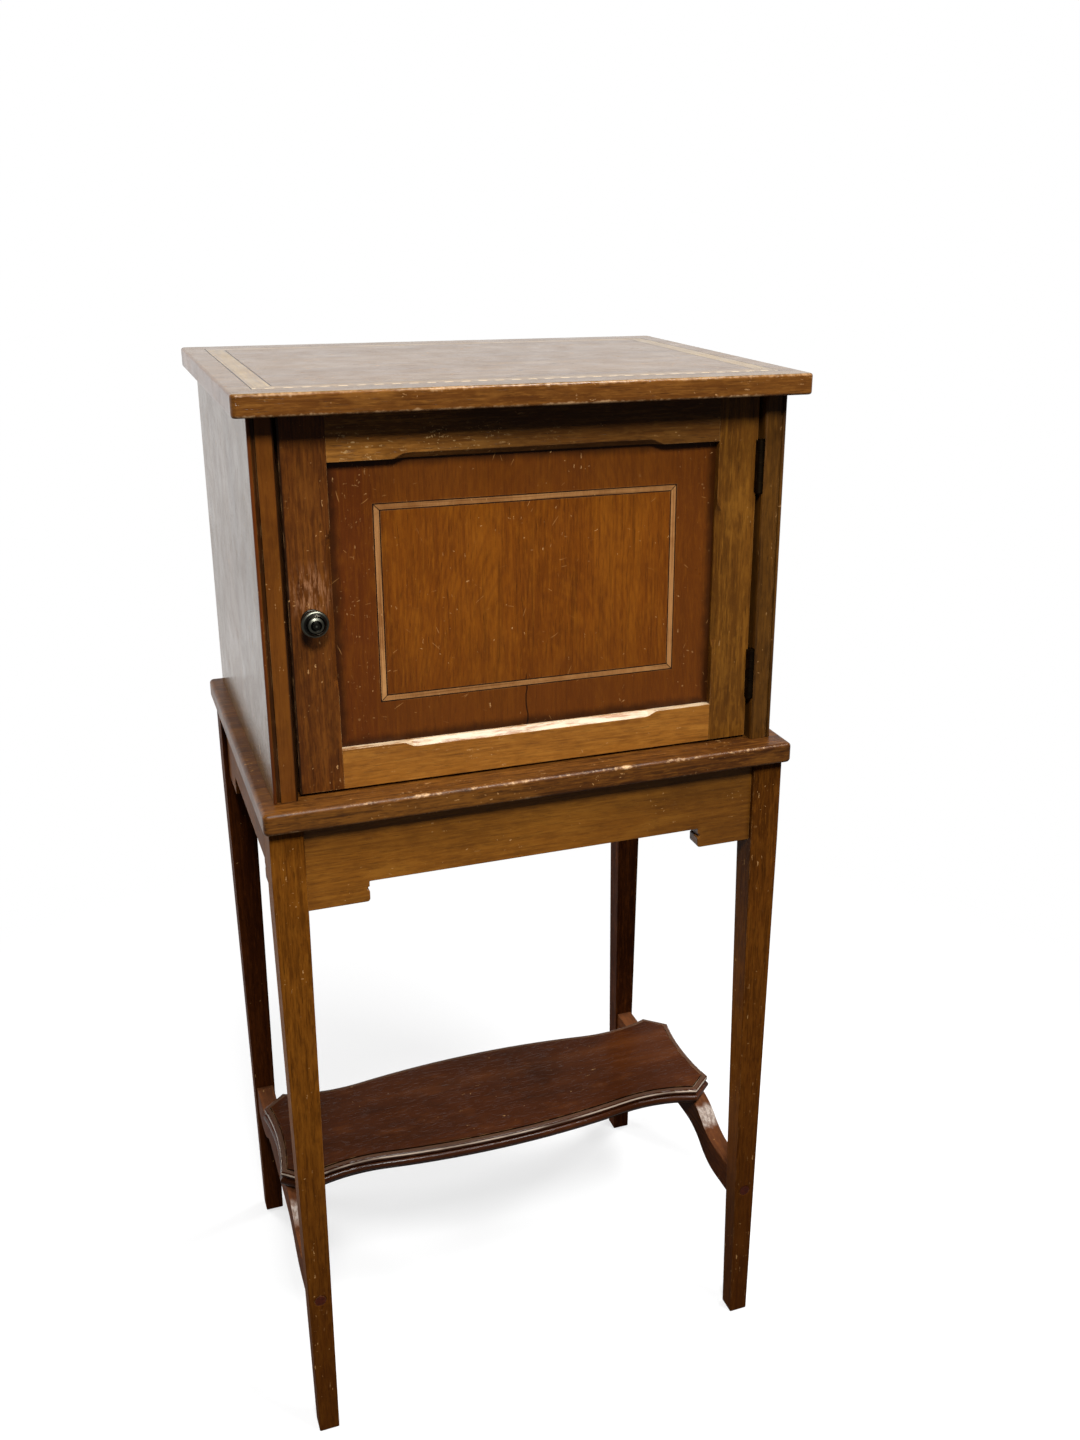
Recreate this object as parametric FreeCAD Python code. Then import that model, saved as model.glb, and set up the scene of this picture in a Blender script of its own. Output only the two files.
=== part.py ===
import FreeCAD, Part
import math
import os

# Inlaid mahogany bedside cupboard on a tall open stand, in millimetres.
# The origin is on the floor under the middle of the cupboard: X runs right, Y runs back, Z runs up.

# Case: two sides and a back between the top board and the mid board
case_width = 385.0
case_depth = 282.5
case_height = 267.0
side_thickness = 17.0
side_bead_width = 2.6
side_quirk_width = 2.4
side_quirk_depth = 2.2
side_inner_radius = 2.0
back_thickness = 6.0
back_rebate_width = 9.0
rail_height = 20.0
rail_depth = 38.0

# Top board
top_thickness = 15.0
top_side_overhang = 10.5
top_front_overhang = 18.5
top_back_overhang = 2.0
top_corner_radius = 4.0
top_edge_radius = 2.0

# Mid board, the floor of the case and the top of the stand
mid_top_height = 556.0
mid_thickness = 16.0
mid_side_overhang = 10.5
mid_front_overhang = 18.5
mid_back_overhang = 9.0
mid_corner_radius = 4.0
mid_edge_radius = 3.0

# Inlay of the top: a light band between two dark lines
top_band_side_inset = 16.0
top_band_front_inset = 21.0
top_band_width = 15.0
top_line_width = 0.9
inlay_depth = 1.2

# Door
door_side_gap = 2.5
door_end_gap = 2.0
door_recess = 6.0
door_thickness = 17.0
stile_width = 31.0
door_top_rail_height = 32.0
door_bottom_rail_height = 29.5
panel_recess = 6.0
panel_thickness = 6.0
panel_groove_depth = 8.0
panel_edge_play = 1.0
door_tenon_length = 20.0
door_tenon_shoulder = 5.0
door_tenon_spacing = 1.0
chamfer_size = 4.0
chamfer_stop_distance = 42.0
chamfer_runout = 12.0
chamfer_runout_shares = (0.0, 0.12, 0.5, 0.88, 1.0)
door_inlay_margin = 30.0
door_inlay_band = 5.2
door_inlay_line = 0.8

# Butt hinges on the right of the door
hinge_length = 38.0
hinge_end_margin = 32.5
hinge_leaf_width = 16.0
hinge_leaf_thickness = 1.5
hinge_barrel_radius = 2.6
hinge_barrel_standoff = 0.4
hinge_pin_radius = 1.2
hinge_pin_cap = 1.0
hinge_knuckles = 5
hinge_knuckle_gap = 0.2
hinge_screw_spacing = 13.0
hinge_screw_setback = 10.0

# Turn catch: knob, spindle and tongue, with the strip that it hooks behind
knob_below_middle = 5.5
knob_radius = 9.5
knob_length = 15.0
knob_base_radius = 5.6
knob_base_height = 1.2
knob_neck_radius = 3.9
knob_rim_height = 4.0
knob_dome_height = 3.6
knob_ring_radius = 0.8
knob_ring_shares = (0.62, 0.32)
knob_bore_depth = 8.0
rose_radius = 7.5
rose_thickness = 1.6
rose_edge_radius = 0.7
spindle_radius = 2.5
spacer_radius = 5.0
stop_width = 10.0
stop_thickness = 6.0
tongue_width = 11.0
tongue_end_clearance = 1.5
tongue_thickness = 3.0
nut_across_flats = 8.0
nut_thickness = 4.0
nut_sides = 6

# Stand: legs and aprons
leg_section = 24.0
leg_side_inset = 4.0
leg_front_inset = 8.0
leg_back_inset = 1.0
foot_section = 16.0
foot_side_taper = 4.5
apron_height = 51.0
apron_thickness = 15.0
apron_setback = 4.0
bracket_drop = 16.0
bracket_length = 45.0
bracket_corner_radius = 2.4
bracket_notch_height = 10.0
bracket_notch_radius = 1.8
tenon_thickness = 8.0
tenon_shoulder = 8.0
tenon_spacing = 1.0
block_length = 36.0
block_height = 28.0

# Shelf and the two stretchers that carry it
shelf_top_height = 182.0
shelf_ear_projection = 4.7
shelf_depth = 132.0
shelf_cant_width = 20.0
shelf_cant_depth = 18.0
shelf_side_hollow = 4.5
shelf_front_dip = 10.0
shelf_corner_setin = 1.0
shelf_low_share = 0.655
shelf_slab_rise = 0.8
shelf_slab_inset = 6.4
shelf_quirk_width = 0.9
shelf_quirk_depth = 1.6
shelf_bead_height = 5.2
shelf_bead_inset = 1.2
shelf_bead_radius = 1.6
shelf_groove_height = 1.2
shelf_groove_inset = 4.4
shelf_roll_height = 6.6
shelf_roll_radius = 3.2
shelf_base_height = 2.2
shelf_base_inset = 3.4
stretcher_width = 15.0
stretcher_depth = 27.0
stretcher_flat_length = 84.0
stretcher_ogee_length = 64.0
stretcher_drop = 20.5
plug_radius = 4.5
plug_depth = 6.0

# Screws and pins
screw_head_radius = 3.6
screw_shank_radius = 1.9
screw_head_height = 2.2
screw_tip_length = 4.0
screw_slot_width = 0.9
screw_slot_depth = 0.9
small_head_radius = 2.4
small_shank_radius = 1.2
small_head_height = 1.4
small_tip_length = 2.5
small_slot_width = 0.6
small_slot_depth = 0.6
hinge_screw_length = 12.0
stretcher_screw_length = 36.0
shelf_screw_bite = 9.0
top_screw_bite = 8.0
stand_screw_bite = 9.0
case_screw_bite = 20.0
shelf_screw_spacing = 50.0
top_screw_spacing = 230.0
case_screw_end_margin = 51.0
block_screw_offset = 10.0
pin_head_radius = 1.6
pin_shank_radius = 0.8
pin_head_height = 0.8
pin_length = 18.0
pins_per_side = 4
pin_end_margin = 30.0

# Fits
wood_clearance = 0.1
running_fit = 0.06
running_gap = 0.3
overrun = 1.0
same_place = 0.05

# Places worked out from the sizes above
Vector = FreeCAD.Vector
ORIGIN = Vector(0, 0, 0)
RIGHT = Vector(1, 0, 0)
BACK = Vector(0, 1, 0)
UP = Vector(0, 0, 1)
round_middle_share = 1 - math.sqrt(0.5)

mid_width = case_width + 2 * mid_side_overhang
mid_depth = case_depth + mid_front_overhang + mid_back_overhang
mid_front = -mid_depth / 2
mid_back = mid_depth / 2
stand_height = mid_top_height - mid_thickness
case_top = mid_top_height + case_height
total_height = case_top + top_thickness
case_front = mid_front + mid_front_overhang
case_back = case_front + case_depth
case_side = case_width / 2
opening_side = case_side - side_thickness
back_board_face = case_back - back_thickness
back_board_side = opening_side + back_rebate_width
top_side = case_side + top_side_overhang
top_front = case_front - top_front_overhang
top_back = case_back + top_back_overhang
top_band_front = top_front + top_band_front_inset
top_band_back = top_back - top_band_front_inset
top_band_side = top_side - top_band_side_inset

door_side = opening_side - door_side_gap
door_bottom = mid_top_height + door_end_gap
door_top = case_top - door_end_gap
door_face = case_front + door_recess
door_rear = door_face + door_thickness
stile_inner = door_side - stile_width
rail_low_edge = door_top - door_top_rail_height
rail_high_edge = door_bottom + door_bottom_rail_height
panel_face = door_face + panel_recess
panel_rear = panel_face + panel_thickness
panel_middle = (rail_low_edge + rail_high_edge) / 2
door_inlay_side = stile_inner - door_inlay_margin
door_inlay_half_height = (rail_low_edge - rail_high_edge) / 2 - door_inlay_margin
stop_face = door_rear + running_gap
stop_rear = stop_face + stop_thickness

hinge_x = (opening_side + door_side) / 2
hinge_y = door_face - hinge_barrel_radius - hinge_barrel_standoff
hinge_heights = (
    door_top - hinge_end_margin - hinge_length / 2,
    door_bottom + hinge_end_margin + hinge_length / 2,
)
hinge_screw_y = hinge_y + hinge_screw_setback

knob_x = -door_side + stile_width / 2
knob_height = (door_bottom + door_top) / 2 - knob_below_middle
tongue_reach = opening_side + knob_x - tongue_end_clearance
tongue_face = stop_rear + running_gap
tongue_rear = tongue_face + tongue_thickness
spindle_end = tongue_rear + nut_thickness
rose_front = door_face - rose_thickness
knob_base = rose_front - running_gap

leg_outer = mid_width / 2 - leg_side_inset
leg_inner = leg_outer - leg_section
leg_front = mid_front + leg_front_inset
leg_back = mid_back - leg_back_inset
stand_middle = (leg_front + leg_back) / 2
apron_bottom = stand_height - apron_height
bracket_bottom = apron_bottom - bracket_drop
apron_outer_x = leg_outer - apron_setback
apron_inner_x = apron_outer_x - apron_thickness
apron_front_y = leg_front + apron_setback
apron_inner_y = apron_front_y + apron_thickness
tenon_length = leg_section - apron_setback - (apron_thickness + tenon_thickness) / 2 - tenon_spacing

shelf_thickness = (
    shelf_base_height + shelf_roll_height + shelf_groove_height + shelf_bead_height + shelf_slab_rise
)
shelf_bottom = shelf_top_height - shelf_thickness
stretcher_end_top = shelf_bottom - stretcher_drop
stretcher_end_middle = stretcher_end_top - stretcher_depth / 2
stretcher_taper_share = stretcher_end_middle / bracket_bottom
stretcher_outer_face = leg_outer - foot_side_taper * (1 - stretcher_taper_share)
stretcher_leg_section = foot_section + (leg_section - foot_section) * stretcher_taper_share
stretcher_x = stretcher_outer_face - stretcher_leg_section / 2
shelf_side = stretcher_x + stretcher_width / 2 + shelf_ear_projection


# Small helpers
def box(x0, x1, y0, y1, z0, z1):
    return Part.makeBox(x1 - x0, y1 - y0, z1 - z0, Vector(x0, y0, z0))


def polygon(points):
    return Part.makePolygon(list(points) + [points[0]])


def prism(points, travel):
    return Part.Face(polygon(points)).extrude(travel)


def arc(start, middle, end):
    return Part.Arc(start, middle, end).toShape()


def line(start, end):
    return Part.LineSegment(start, end).toShape()


def mirror_x(shape):
    return shape.mirror(ORIGIN, RIGHT)


def mirror_y(shape):
    return shape.mirror(Vector(0, stand_middle, 0), BACK)


def both_sides(shape):
    return [shape, mirror_x(shape)]


def four_corners(shape):
    return both_sides(shape) + both_sides(mirror_y(shape))


def cut_all(shape, tools):
    return shape.cut(list(tools))


def level_edges(shape, height):
    return [e for e in shape.Edges if all(abs(v.Z - height) < same_place for v in e.Vertexes)]


def upright_edges(shape):
    found = []
    for edge in shape.Edges:
        ends = [v.Point for v in edge.Vertexes]
        if len(ends) == 2 and (ends[0] - ends[1]).cross(UP).Length < same_place:
            found.append(edge)
    return found


def save(name, pieces):
    shape = Part.makeCompound(pieces) if isinstance(pieces, list) else pieces
    shape.exportStep("parts/" + name + ".step")


# Screws, pins and the holes that they leave
def screw_body(radii, head_height, tip_length, length, grow):
    head_radius, shank_radius = radii
    shank_length = length - head_height - tip_length
    head = Part.makeCone(head_radius + grow, shank_radius + grow, head_height)
    shank = Part.makeCylinder(shank_radius + grow, shank_length, Vector(0, 0, head_height))
    tip_base = Vector(0, 0, head_height + shank_length)
    tip = Part.makeCone(shank_radius + grow, grow, tip_length + grow, tip_base)
    return head.fuse(shank).fuse(tip).removeSplitter()


def placed(shape, point, direction):
    shape.Placement = FreeCAD.Placement(point, FreeCAD.Rotation(UP, direction))
    return shape


def slot(width, depth, reach):
    return box(-reach, reach, -width / 2, width / 2, -overrun, depth)


def wood_screw(point, direction, length):
    body = screw_body((screw_head_radius, screw_shank_radius), screw_head_height, screw_tip_length, length, 0)
    body = body.cut(slot(screw_slot_width, screw_slot_depth, screw_head_radius + overrun))
    return placed(body, point, direction)


def wood_screw_hole(point, direction, length):
    radii = (screw_head_radius, screw_shank_radius)
    body = screw_body(radii, screw_head_height, screw_tip_length, length, wood_clearance)
    return placed(body, point, direction)


def small_screw(point, direction):
    radii = (small_head_radius, small_shank_radius)
    body = screw_body(radii, small_head_height, small_tip_length, hinge_screw_length, 0)
    body = body.cut(slot(small_slot_width, small_slot_depth, small_head_radius + overrun))
    return placed(body, point, direction)


def small_screw_hole(point, direction):
    radii = (small_head_radius, small_shank_radius)
    body = screw_body(radii, small_head_height, small_tip_length, hinge_screw_length, wood_clearance)
    return placed(body, point, direction)


def panel_pin(point, direction, grow):
    head = Part.makeCylinder(pin_head_radius + grow, pin_head_height)
    start = Vector(0, 0, pin_head_height)
    shank = Part.makeCylinder(pin_shank_radius + grow, pin_length - pin_head_height, start)
    return placed(head.fuse(shank), point, direction)


# Each kind of fastener as a list of (point, direction)
def top_screw_places():
    rails = (stop_face + rail_depth / 2, back_board_face - rail_depth / 2)
    height = case_top - rail_height
    return [(Vector(s * top_screw_spacing / 2, y, height), UP) for y in rails for s in (-1, 1)]


def case_screw_places():
    x = case_side - side_thickness / 2
    ends = (case_front + case_screw_end_margin, case_back - case_screw_end_margin)
    return [(Vector(side * x, y, stand_height), UP) for side in (-1, 1) for y in ends]


def stand_screw_place():
    point = Vector(-leg_inner + block_screw_offset, leg_front + leg_section + block_screw_offset, 0)
    point.z = stand_height - block_height
    return point, UP


def stretcher_screw_place():
    return Vector(-stretcher_x, leg_front + plug_depth, stretcher_end_middle), BACK


def shelf_screw_places():
    height = shelf_bottom - stretcher_depth
    places = []
    for end in (-1, 1):
        places.append((Vector(-stretcher_x, stand_middle + end * shelf_screw_spacing / 2, height), UP))
    return places


def hinge_screw_places(x, direction):
    places = []
    for height in hinge_heights:
        for step in (-1, 0, 1):
            places.append((Vector(x, hinge_screw_y, height + step * hinge_screw_spacing), direction))
    return places


def back_pin_places():
    x = (opening_side + back_board_side) / 2
    low = mid_top_height + pin_end_margin
    pitch = (case_top - pin_end_margin - low) / (pins_per_side - 1)
    places = []
    for side in (-1, 1):
        for step in range(pins_per_side):
            places.append((Vector(side * x, case_back, low + step * pitch), -BACK))
    return places


top_screw_length = rail_height + top_screw_bite
case_screw_length = mid_thickness + case_screw_bite
stand_screw_length = block_height + stand_screw_bite
shelf_screw_length = stretcher_depth + shelf_screw_bite


# Inlay frames with mitred corners, drawn flat and carried to their face by place(u, v)
def frame_corners(half_u, half_v):
    return [(-half_u, -half_v), (half_u, -half_v), (half_u, half_v), (-half_u, half_v)]


def mitred_frame(half_u, half_v, width, place, travel):
    outer = frame_corners(half_u, half_v)
    inner = frame_corners(half_u - width, half_v - width)
    strips = []
    for index in range(len(outer)):
        after = (index + 1) % len(outer)
        points = [outer[index], outer[after], inner[after], inner[index]]
        strips.append(prism([place(u, v) for u, v in points], travel))
    return strips


def frame_pocket(half_u, half_v, width, place, travel):
    outer = prism([place(u, v) for u, v in frame_corners(half_u, half_v)], travel)
    inner = prism([place(u, v) for u, v in frame_corners(half_u - width, half_v - width)], travel)
    return outer.cut(inner)


def banded_inlay(half_u, half_v, width, line_width, place, travel):
    band = mitred_frame(half_u - line_width, half_v - line_width, width - 2 * line_width, place, travel)
    lines = mitred_frame(half_u, half_v, line_width, place, travel)
    far = width - line_width
    lines += mitred_frame(half_u - far, half_v - far, line_width, place, travel)
    return band, lines


# Top board and its inlay
def on_top(u, v):
    return Vector(u, (top_band_front + top_band_back) / 2 + v, total_height)


top_inlay = (top_band_side, (top_band_back - top_band_front) / 2, top_band_width)


def eased_board(board, corner_radius, edge_radius):
    board = board.makeFillet(corner_radius, upright_edges(board))
    levels = {board.BoundBox.ZMin, board.BoundBox.ZMax}
    edges = [edge for level in levels for edge in level_edges(board, level)]
    return board.makeFillet(edge_radius, edges)


def top_board():
    board = box(-top_side, top_side, top_front, top_back, case_top, total_height)
    board = eased_board(board, top_corner_radius, top_edge_radius)
    board = board.cut(frame_pocket(*top_inlay, on_top, -UP * inlay_depth))
    return cut_all(board, [wood_screw_hole(p, d, top_screw_length) for p, d in top_screw_places()])


# Case boards
def side_outline():
    outer = -case_side
    inner = -opening_side
    bead = side_bead_width / 2
    quirk_start = outer + side_bead_width
    quirk_end = quirk_start + side_quirk_width
    quirk_floor = case_front + side_quirk_depth
    corner = side_inner_radius * round_middle_share
    edges = [
        line(Vector(outer, case_back, 0), Vector(outer, case_front + bead, 0)),
        arc(
            Vector(outer, case_front + bead, 0),
            Vector(outer + bead, case_front, 0),
            Vector(quirk_start, case_front + bead, 0),
        ),
        line(Vector(quirk_start, case_front + bead, 0), Vector(quirk_start, quirk_floor, 0)),
        line(Vector(quirk_start, quirk_floor, 0), Vector(quirk_end, quirk_floor, 0)),
        line(Vector(quirk_end, quirk_floor, 0), Vector(quirk_end, case_front, 0)),
        line(Vector(quirk_end, case_front, 0), Vector(inner - side_inner_radius, case_front, 0)),
        arc(
            Vector(inner - side_inner_radius, case_front, 0),
            Vector(inner - corner, case_front + corner, 0),
            Vector(inner, case_front + side_inner_radius, 0),
        ),
        line(Vector(inner, case_front + side_inner_radius, 0), Vector(inner, back_board_face, 0)),
        line(Vector(inner, back_board_face, 0), Vector(-back_board_side, back_board_face, 0)),
        line(Vector(-back_board_side, back_board_face, 0), Vector(-back_board_side, case_back, 0)),
        line(Vector(-back_board_side, case_back, 0), Vector(outer, case_back, 0)),
    ]
    return Part.Wire(edges)


def left_side_board():
    board = Part.Face(side_outline()).extrude(UP * (case_top - mid_top_height))
    board.translate(UP * mid_top_height)
    holes = [wood_screw_hole(p, d, case_screw_length) for p, d in case_screw_places()]
    holes += [panel_pin(p, d, wood_clearance) for p, d in back_pin_places()]
    return cut_all(board, holes)


def right_side_board():
    board = mirror_x(left_side_board())
    return cut_all(board, hinge_case_mortises())


def back_board():
    board = box(-back_board_side, back_board_side, back_board_face, case_back, mid_top_height, case_top)
    return cut_all(board, [panel_pin(p, d, wood_clearance) for p, d in back_pin_places()])


def top_rail(front):
    rail = box(-opening_side, opening_side, front, front + rail_depth, case_top - rail_height, case_top)
    return cut_all(rail, [wood_screw_hole(p, d, top_screw_length) for p, d in top_screw_places()])


def door_stop():
    top = case_top - rail_height
    return box(-opening_side, -opening_side + stop_width, stop_face, stop_rear, mid_top_height, top)


def mid_board():
    board = box(-mid_width / 2, mid_width / 2, mid_front, mid_back, stand_height, mid_top_height)
    board = eased_board(board, mid_corner_radius, mid_edge_radius)
    holes = [wood_screw_hole(p, d, case_screw_length) for p, d in case_screw_places()]
    point, direction = stand_screw_place()
    holes += four_corners(wood_screw_hole(point, direction, stand_screw_length))
    return cut_all(board, holes)


# Door frame, panel and inlay
def stopped_chamfer(start, end, across, into):
    # Cutter along one arris: it runs in from nothing, holds its depth and runs out again
    along = end - start
    length = along.Length
    along.normalize()
    steps = len(chamfer_runout_shares) - 1
    stations = []
    for index, share in enumerate(chamfer_runout_shares):
        place = chamfer_stop_distance + chamfer_runout * index / steps
        stations.append((place, share * chamfer_size))
    stations += [(length - place, depth) for place, depth in reversed(stations)]
    sections = []
    for place, depth in stations:
        corner = start + along * place
        near = corner - across * overrun - into * overrun
        first = corner + across * (depth + overrun) - into * overrun
        second = corner + into * (depth + overrun) - across * overrun
        sections.append(polygon([near, first, second]))
    return Part.makeLoft(sections, True, True)


def rail_tenons(outer_edge, inner_edge, grow):
    # Both tenons of a door rail, in line with the panel groove and stopped short of it
    inward = math.copysign(1, inner_edge - outer_edge)
    near = outer_edge + inward * (door_tenon_shoulder - grow)
    far = inner_edge - inward * (panel_groove_depth + door_tenon_spacing - grow)
    reach = stile_inner + door_tenon_length + grow
    low, high = sorted((near, far))
    return both_sides(box(stile_inner, reach, panel_face - grow, panel_rear + grow, low, high))


def panel_groove():
    side = stile_inner + panel_groove_depth
    low = rail_high_edge - panel_groove_depth
    high = rail_low_edge + panel_groove_depth
    return box(-side, side, panel_face - wood_clearance, panel_rear + wood_clearance, low, high)


def door_stile():
    # Left stile, without its knob bore or hinge mortises
    stile = box(-door_side, -stile_inner, door_face, door_rear, door_bottom, door_top)
    cuts = [panel_groove()]
    cuts += rail_tenons(door_bottom, rail_high_edge, wood_clearance)
    cuts += rail_tenons(door_top, rail_low_edge, wood_clearance)
    low = Vector(-stile_inner, door_face, rail_high_edge)
    high = Vector(-stile_inner, door_face, rail_low_edge)
    cuts.append(stopped_chamfer(low, high, -RIGHT, BACK))
    return cut_all(stile, cuts)


def door_left_stile():
    bore = Part.makeCylinder(
        spindle_radius + running_fit,
        door_thickness + 2 * overrun,
        Vector(knob_x, door_face - overrun, knob_height),
        BACK,
    )
    return door_stile().cut(bore)


def door_right_stile():
    return cut_all(mirror_x(door_stile()), hinge_door_mortises())


def door_rail(outer_edge, inner_edge, outward):
    low, high = sorted((outer_edge, inner_edge))
    rail = box(-stile_inner, stile_inner, door_face, door_rear, low, high)
    left = Vector(-stile_inner, door_face, inner_edge)
    right = Vector(stile_inner, door_face, inner_edge)
    rail = cut_all(rail, [panel_groove(), stopped_chamfer(left, right, outward, BACK)])
    return rail.fuse(rail_tenons(outer_edge, inner_edge, 0)).removeSplitter()


def on_panel(u, v):
    return Vector(u, panel_face, panel_middle + v)


door_inlay_size = (door_inlay_side, door_inlay_half_height, door_inlay_band)


def door_panel():
    side = stile_inner + panel_groove_depth - panel_edge_play
    low = rail_high_edge - panel_groove_depth + panel_edge_play
    high = rail_low_edge + panel_groove_depth - panel_edge_play
    panel = box(-side, side, panel_face, panel_rear, low, high)
    return panel.cut(frame_pocket(*door_inlay_size, on_panel, BACK * inlay_depth))


# Hinges
def knuckle(index, middle, radius, grow):
    # One knuckle of the barrel, counted from the bottom
    pitch = hinge_length / hinge_knuckles
    low = middle - hinge_length / 2 + index * pitch
    return Part.makeCylinder(radius, pitch + 2 * grow, Vector(hinge_x, hinge_y, low - grow), UP)


def hinge_leaf(middle, first, plate_low, plate_high):
    # A plate with every second knuckle, cleared round the knuckles of the other leaf
    low = middle - hinge_length / 2
    plate = box(plate_low, plate_high, hinge_y, hinge_y + hinge_leaf_width, low, low + hinge_length)
    mine = range(first, hinge_knuckles, 2)
    others = range(1 - first, hinge_knuckles, 2)
    room = hinge_barrel_radius + running_gap
    leaf = plate
    for index in mine:
        leaf = leaf.fuse(knuckle(index, middle, hinge_barrel_radius, 0))
    leaf = cut_all(leaf, [knuckle(index, middle, room, hinge_knuckle_gap / 2) for index in others])
    bore = hinge_pin_radius + running_fit
    reach = hinge_length + 2 * overrun
    leaf = leaf.cut(Part.makeCylinder(bore, reach, Vector(hinge_x, hinge_y, low - overrun), UP))
    return leaf.removeSplitter()


def case_leaf(middle):
    leaf = hinge_leaf(middle, 0, opening_side, opening_side + hinge_leaf_thickness)
    return cut_all(leaf, hinge_case_holes())


def door_leaf(middle):
    leaf = hinge_leaf(middle, 1, door_side - hinge_leaf_thickness, door_side)
    return cut_all(leaf, hinge_door_holes())


def hinge_pin(middle):
    low = middle - hinge_length / 2
    pin = Part.makeCylinder(hinge_pin_radius, hinge_length, Vector(hinge_x, hinge_y, low), UP)
    cap_radius = (hinge_pin_radius + hinge_barrel_radius) / 2
    for base in (low - hinge_pin_cap, low + hinge_length):
        pin = pin.fuse(Part.makeCylinder(cap_radius, hinge_pin_cap, Vector(hinge_x, hinge_y, base), UP))
    return pin.removeSplitter()


def hinge_case_places():
    return hinge_screw_places(opening_side, RIGHT)


def hinge_door_places():
    return hinge_screw_places(door_side, -RIGHT)


def hinge_case_holes():
    return [small_screw_hole(p, d) for p, d in hinge_case_places()]


def hinge_door_holes():
    return [small_screw_hole(p, d) for p, d in hinge_door_places()]


def hinge_case_mortises():
    # Bed for each leaf and a hollow beside the barrel, with the screw holes
    cuts = hinge_case_holes()
    reach = hinge_length / 2 + hinge_pin_cap + running_gap
    bed = opening_side + hinge_leaf_thickness
    for z in hinge_heights:
        low = z - hinge_length / 2
        rear = hinge_y + hinge_leaf_width
        cuts.append(box(opening_side - overrun, bed, hinge_y, rear, low, low + hinge_length))
        base = Vector(hinge_x, hinge_y, z - reach)
        cuts.append(Part.makeCylinder(hinge_barrel_radius + running_gap, 2 * reach, base, UP))
    return cuts


def hinge_door_mortises():
    cuts = hinge_door_holes()
    bed = door_side - hinge_leaf_thickness
    for z in hinge_heights:
        low = z - hinge_length / 2
        front = door_face - overrun
        rear = hinge_y + hinge_leaf_width
        cuts.append(box(bed, door_side + overrun, front, rear, low, low + hinge_length))
    return cuts


# Turn catch
def knob_profile():
    # Half of the knob, from the axis out: base, hollow neck, round rim and shallow dome
    rim_middle = knob_radius - knob_rim_height / 2
    dome_base = knob_length - knob_dome_height
    rim_base = dome_base - knob_rim_height

    def at(radius, distance):
        return Vector(knob_x + radius, knob_base - distance, knob_height)

    dome_quarter = at(rim_middle / 2, knob_length - dome_drop(rim_middle / 2))
    return [
        line(at(0, 0), at(knob_base_radius, 0)),
        line(at(knob_base_radius, 0), at(knob_base_radius, knob_base_height)),
        arc(
            at(knob_base_radius, knob_base_height),
            at(knob_neck_radius, (knob_base_height + rim_base) / 2),
            at(rim_middle, rim_base),
        ),
        arc(at(rim_middle, rim_base), at(knob_radius, (rim_base + dome_base) / 2), at(rim_middle, dome_base)),
        arc(at(rim_middle, dome_base), dome_quarter, at(0, knob_length)),
        line(at(0, knob_length), at(0, 0)),
    ]


def dome_drop(radius):
    # How far the domed face has fallen back at a radius from its middle
    reach = knob_radius - knob_rim_height / 2
    sphere = (reach * reach + knob_dome_height * knob_dome_height) / (2 * knob_dome_height)
    return sphere - math.sqrt(sphere * sphere - radius * radius)


def knob():
    middle = Vector(knob_x, knob_base, knob_height)
    body = Part.Face(Part.Wire(knob_profile())).revolve(middle, BACK, 360)
    cuts = [Part.makeCylinder(spindle_radius + wood_clearance, knob_bore_depth, middle, -BACK)]
    for share in knob_ring_shares:
        ring = share * knob_radius
        face = Vector(knob_x, knob_base - knob_length + dome_drop(ring), knob_height)
        cuts.append(Part.makeTorus(ring, knob_ring_radius, face, BACK))
    return cut_all(body, cuts)


def knob_rose():
    disc = Part.makeCylinder(rose_radius, rose_thickness, Vector(knob_x, rose_front, knob_height), BACK)
    rim = [e for e in disc.Edges if abs(e.BoundBox.YMax - rose_front) < same_place]
    disc = disc.makeFillet(rose_edge_radius, rim)
    bore = Part.makeCylinder(
        spindle_radius + running_fit,
        rose_thickness + 2 * overrun,
        Vector(knob_x, rose_front - overrun, knob_height),
        BACK,
    )
    return disc.cut(bore)


def knob_spindle():
    front = knob_base - knob_bore_depth
    return Part.makeCylinder(spindle_radius, spindle_end - front, Vector(knob_x, front, knob_height), BACK)


def spindle_bored(shape):
    start = Vector(knob_x, door_rear, knob_height)
    reach = spindle_end + overrun - door_rear
    return shape.cut(Part.makeCylinder(spindle_radius + wood_clearance, reach, start, BACK))


def latch_spacer():
    front = door_rear + running_gap
    ring = Part.makeCylinder(spacer_radius, tongue_face - front, Vector(knob_x, front, knob_height), BACK)
    return spindle_bored(ring)


def latch_tongue():
    # Round at both ends, hanging down while the catch is open
    half = tongue_width / 2
    tip = knob_height - tongue_reach + half

    def at(x, z):
        return Vector(knob_x + x, tongue_face, z)

    edges = [
        arc(at(-half, knob_height), at(0, knob_height + half), at(half, knob_height)),
        line(at(half, knob_height), at(half, tip)),
        arc(at(half, tip), at(0, tip - half), at(-half, tip)),
        line(at(-half, tip), at(-half, knob_height)),
    ]
    return spindle_bored(Part.Face(Part.Wire(edges)).extrude(BACK * tongue_thickness))


def latch_nut():
    corner = nut_across_flats / 2 / math.cos(math.pi / nut_sides)
    points = []
    for index in range(nut_sides):
        angle = 2 * math.pi * index / nut_sides
        x = knob_x + corner * math.cos(angle)
        points.append(Vector(x, tongue_rear, knob_height + corner * math.sin(angle)))
    return spindle_bored(prism(points, BACK * nut_thickness))


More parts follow.
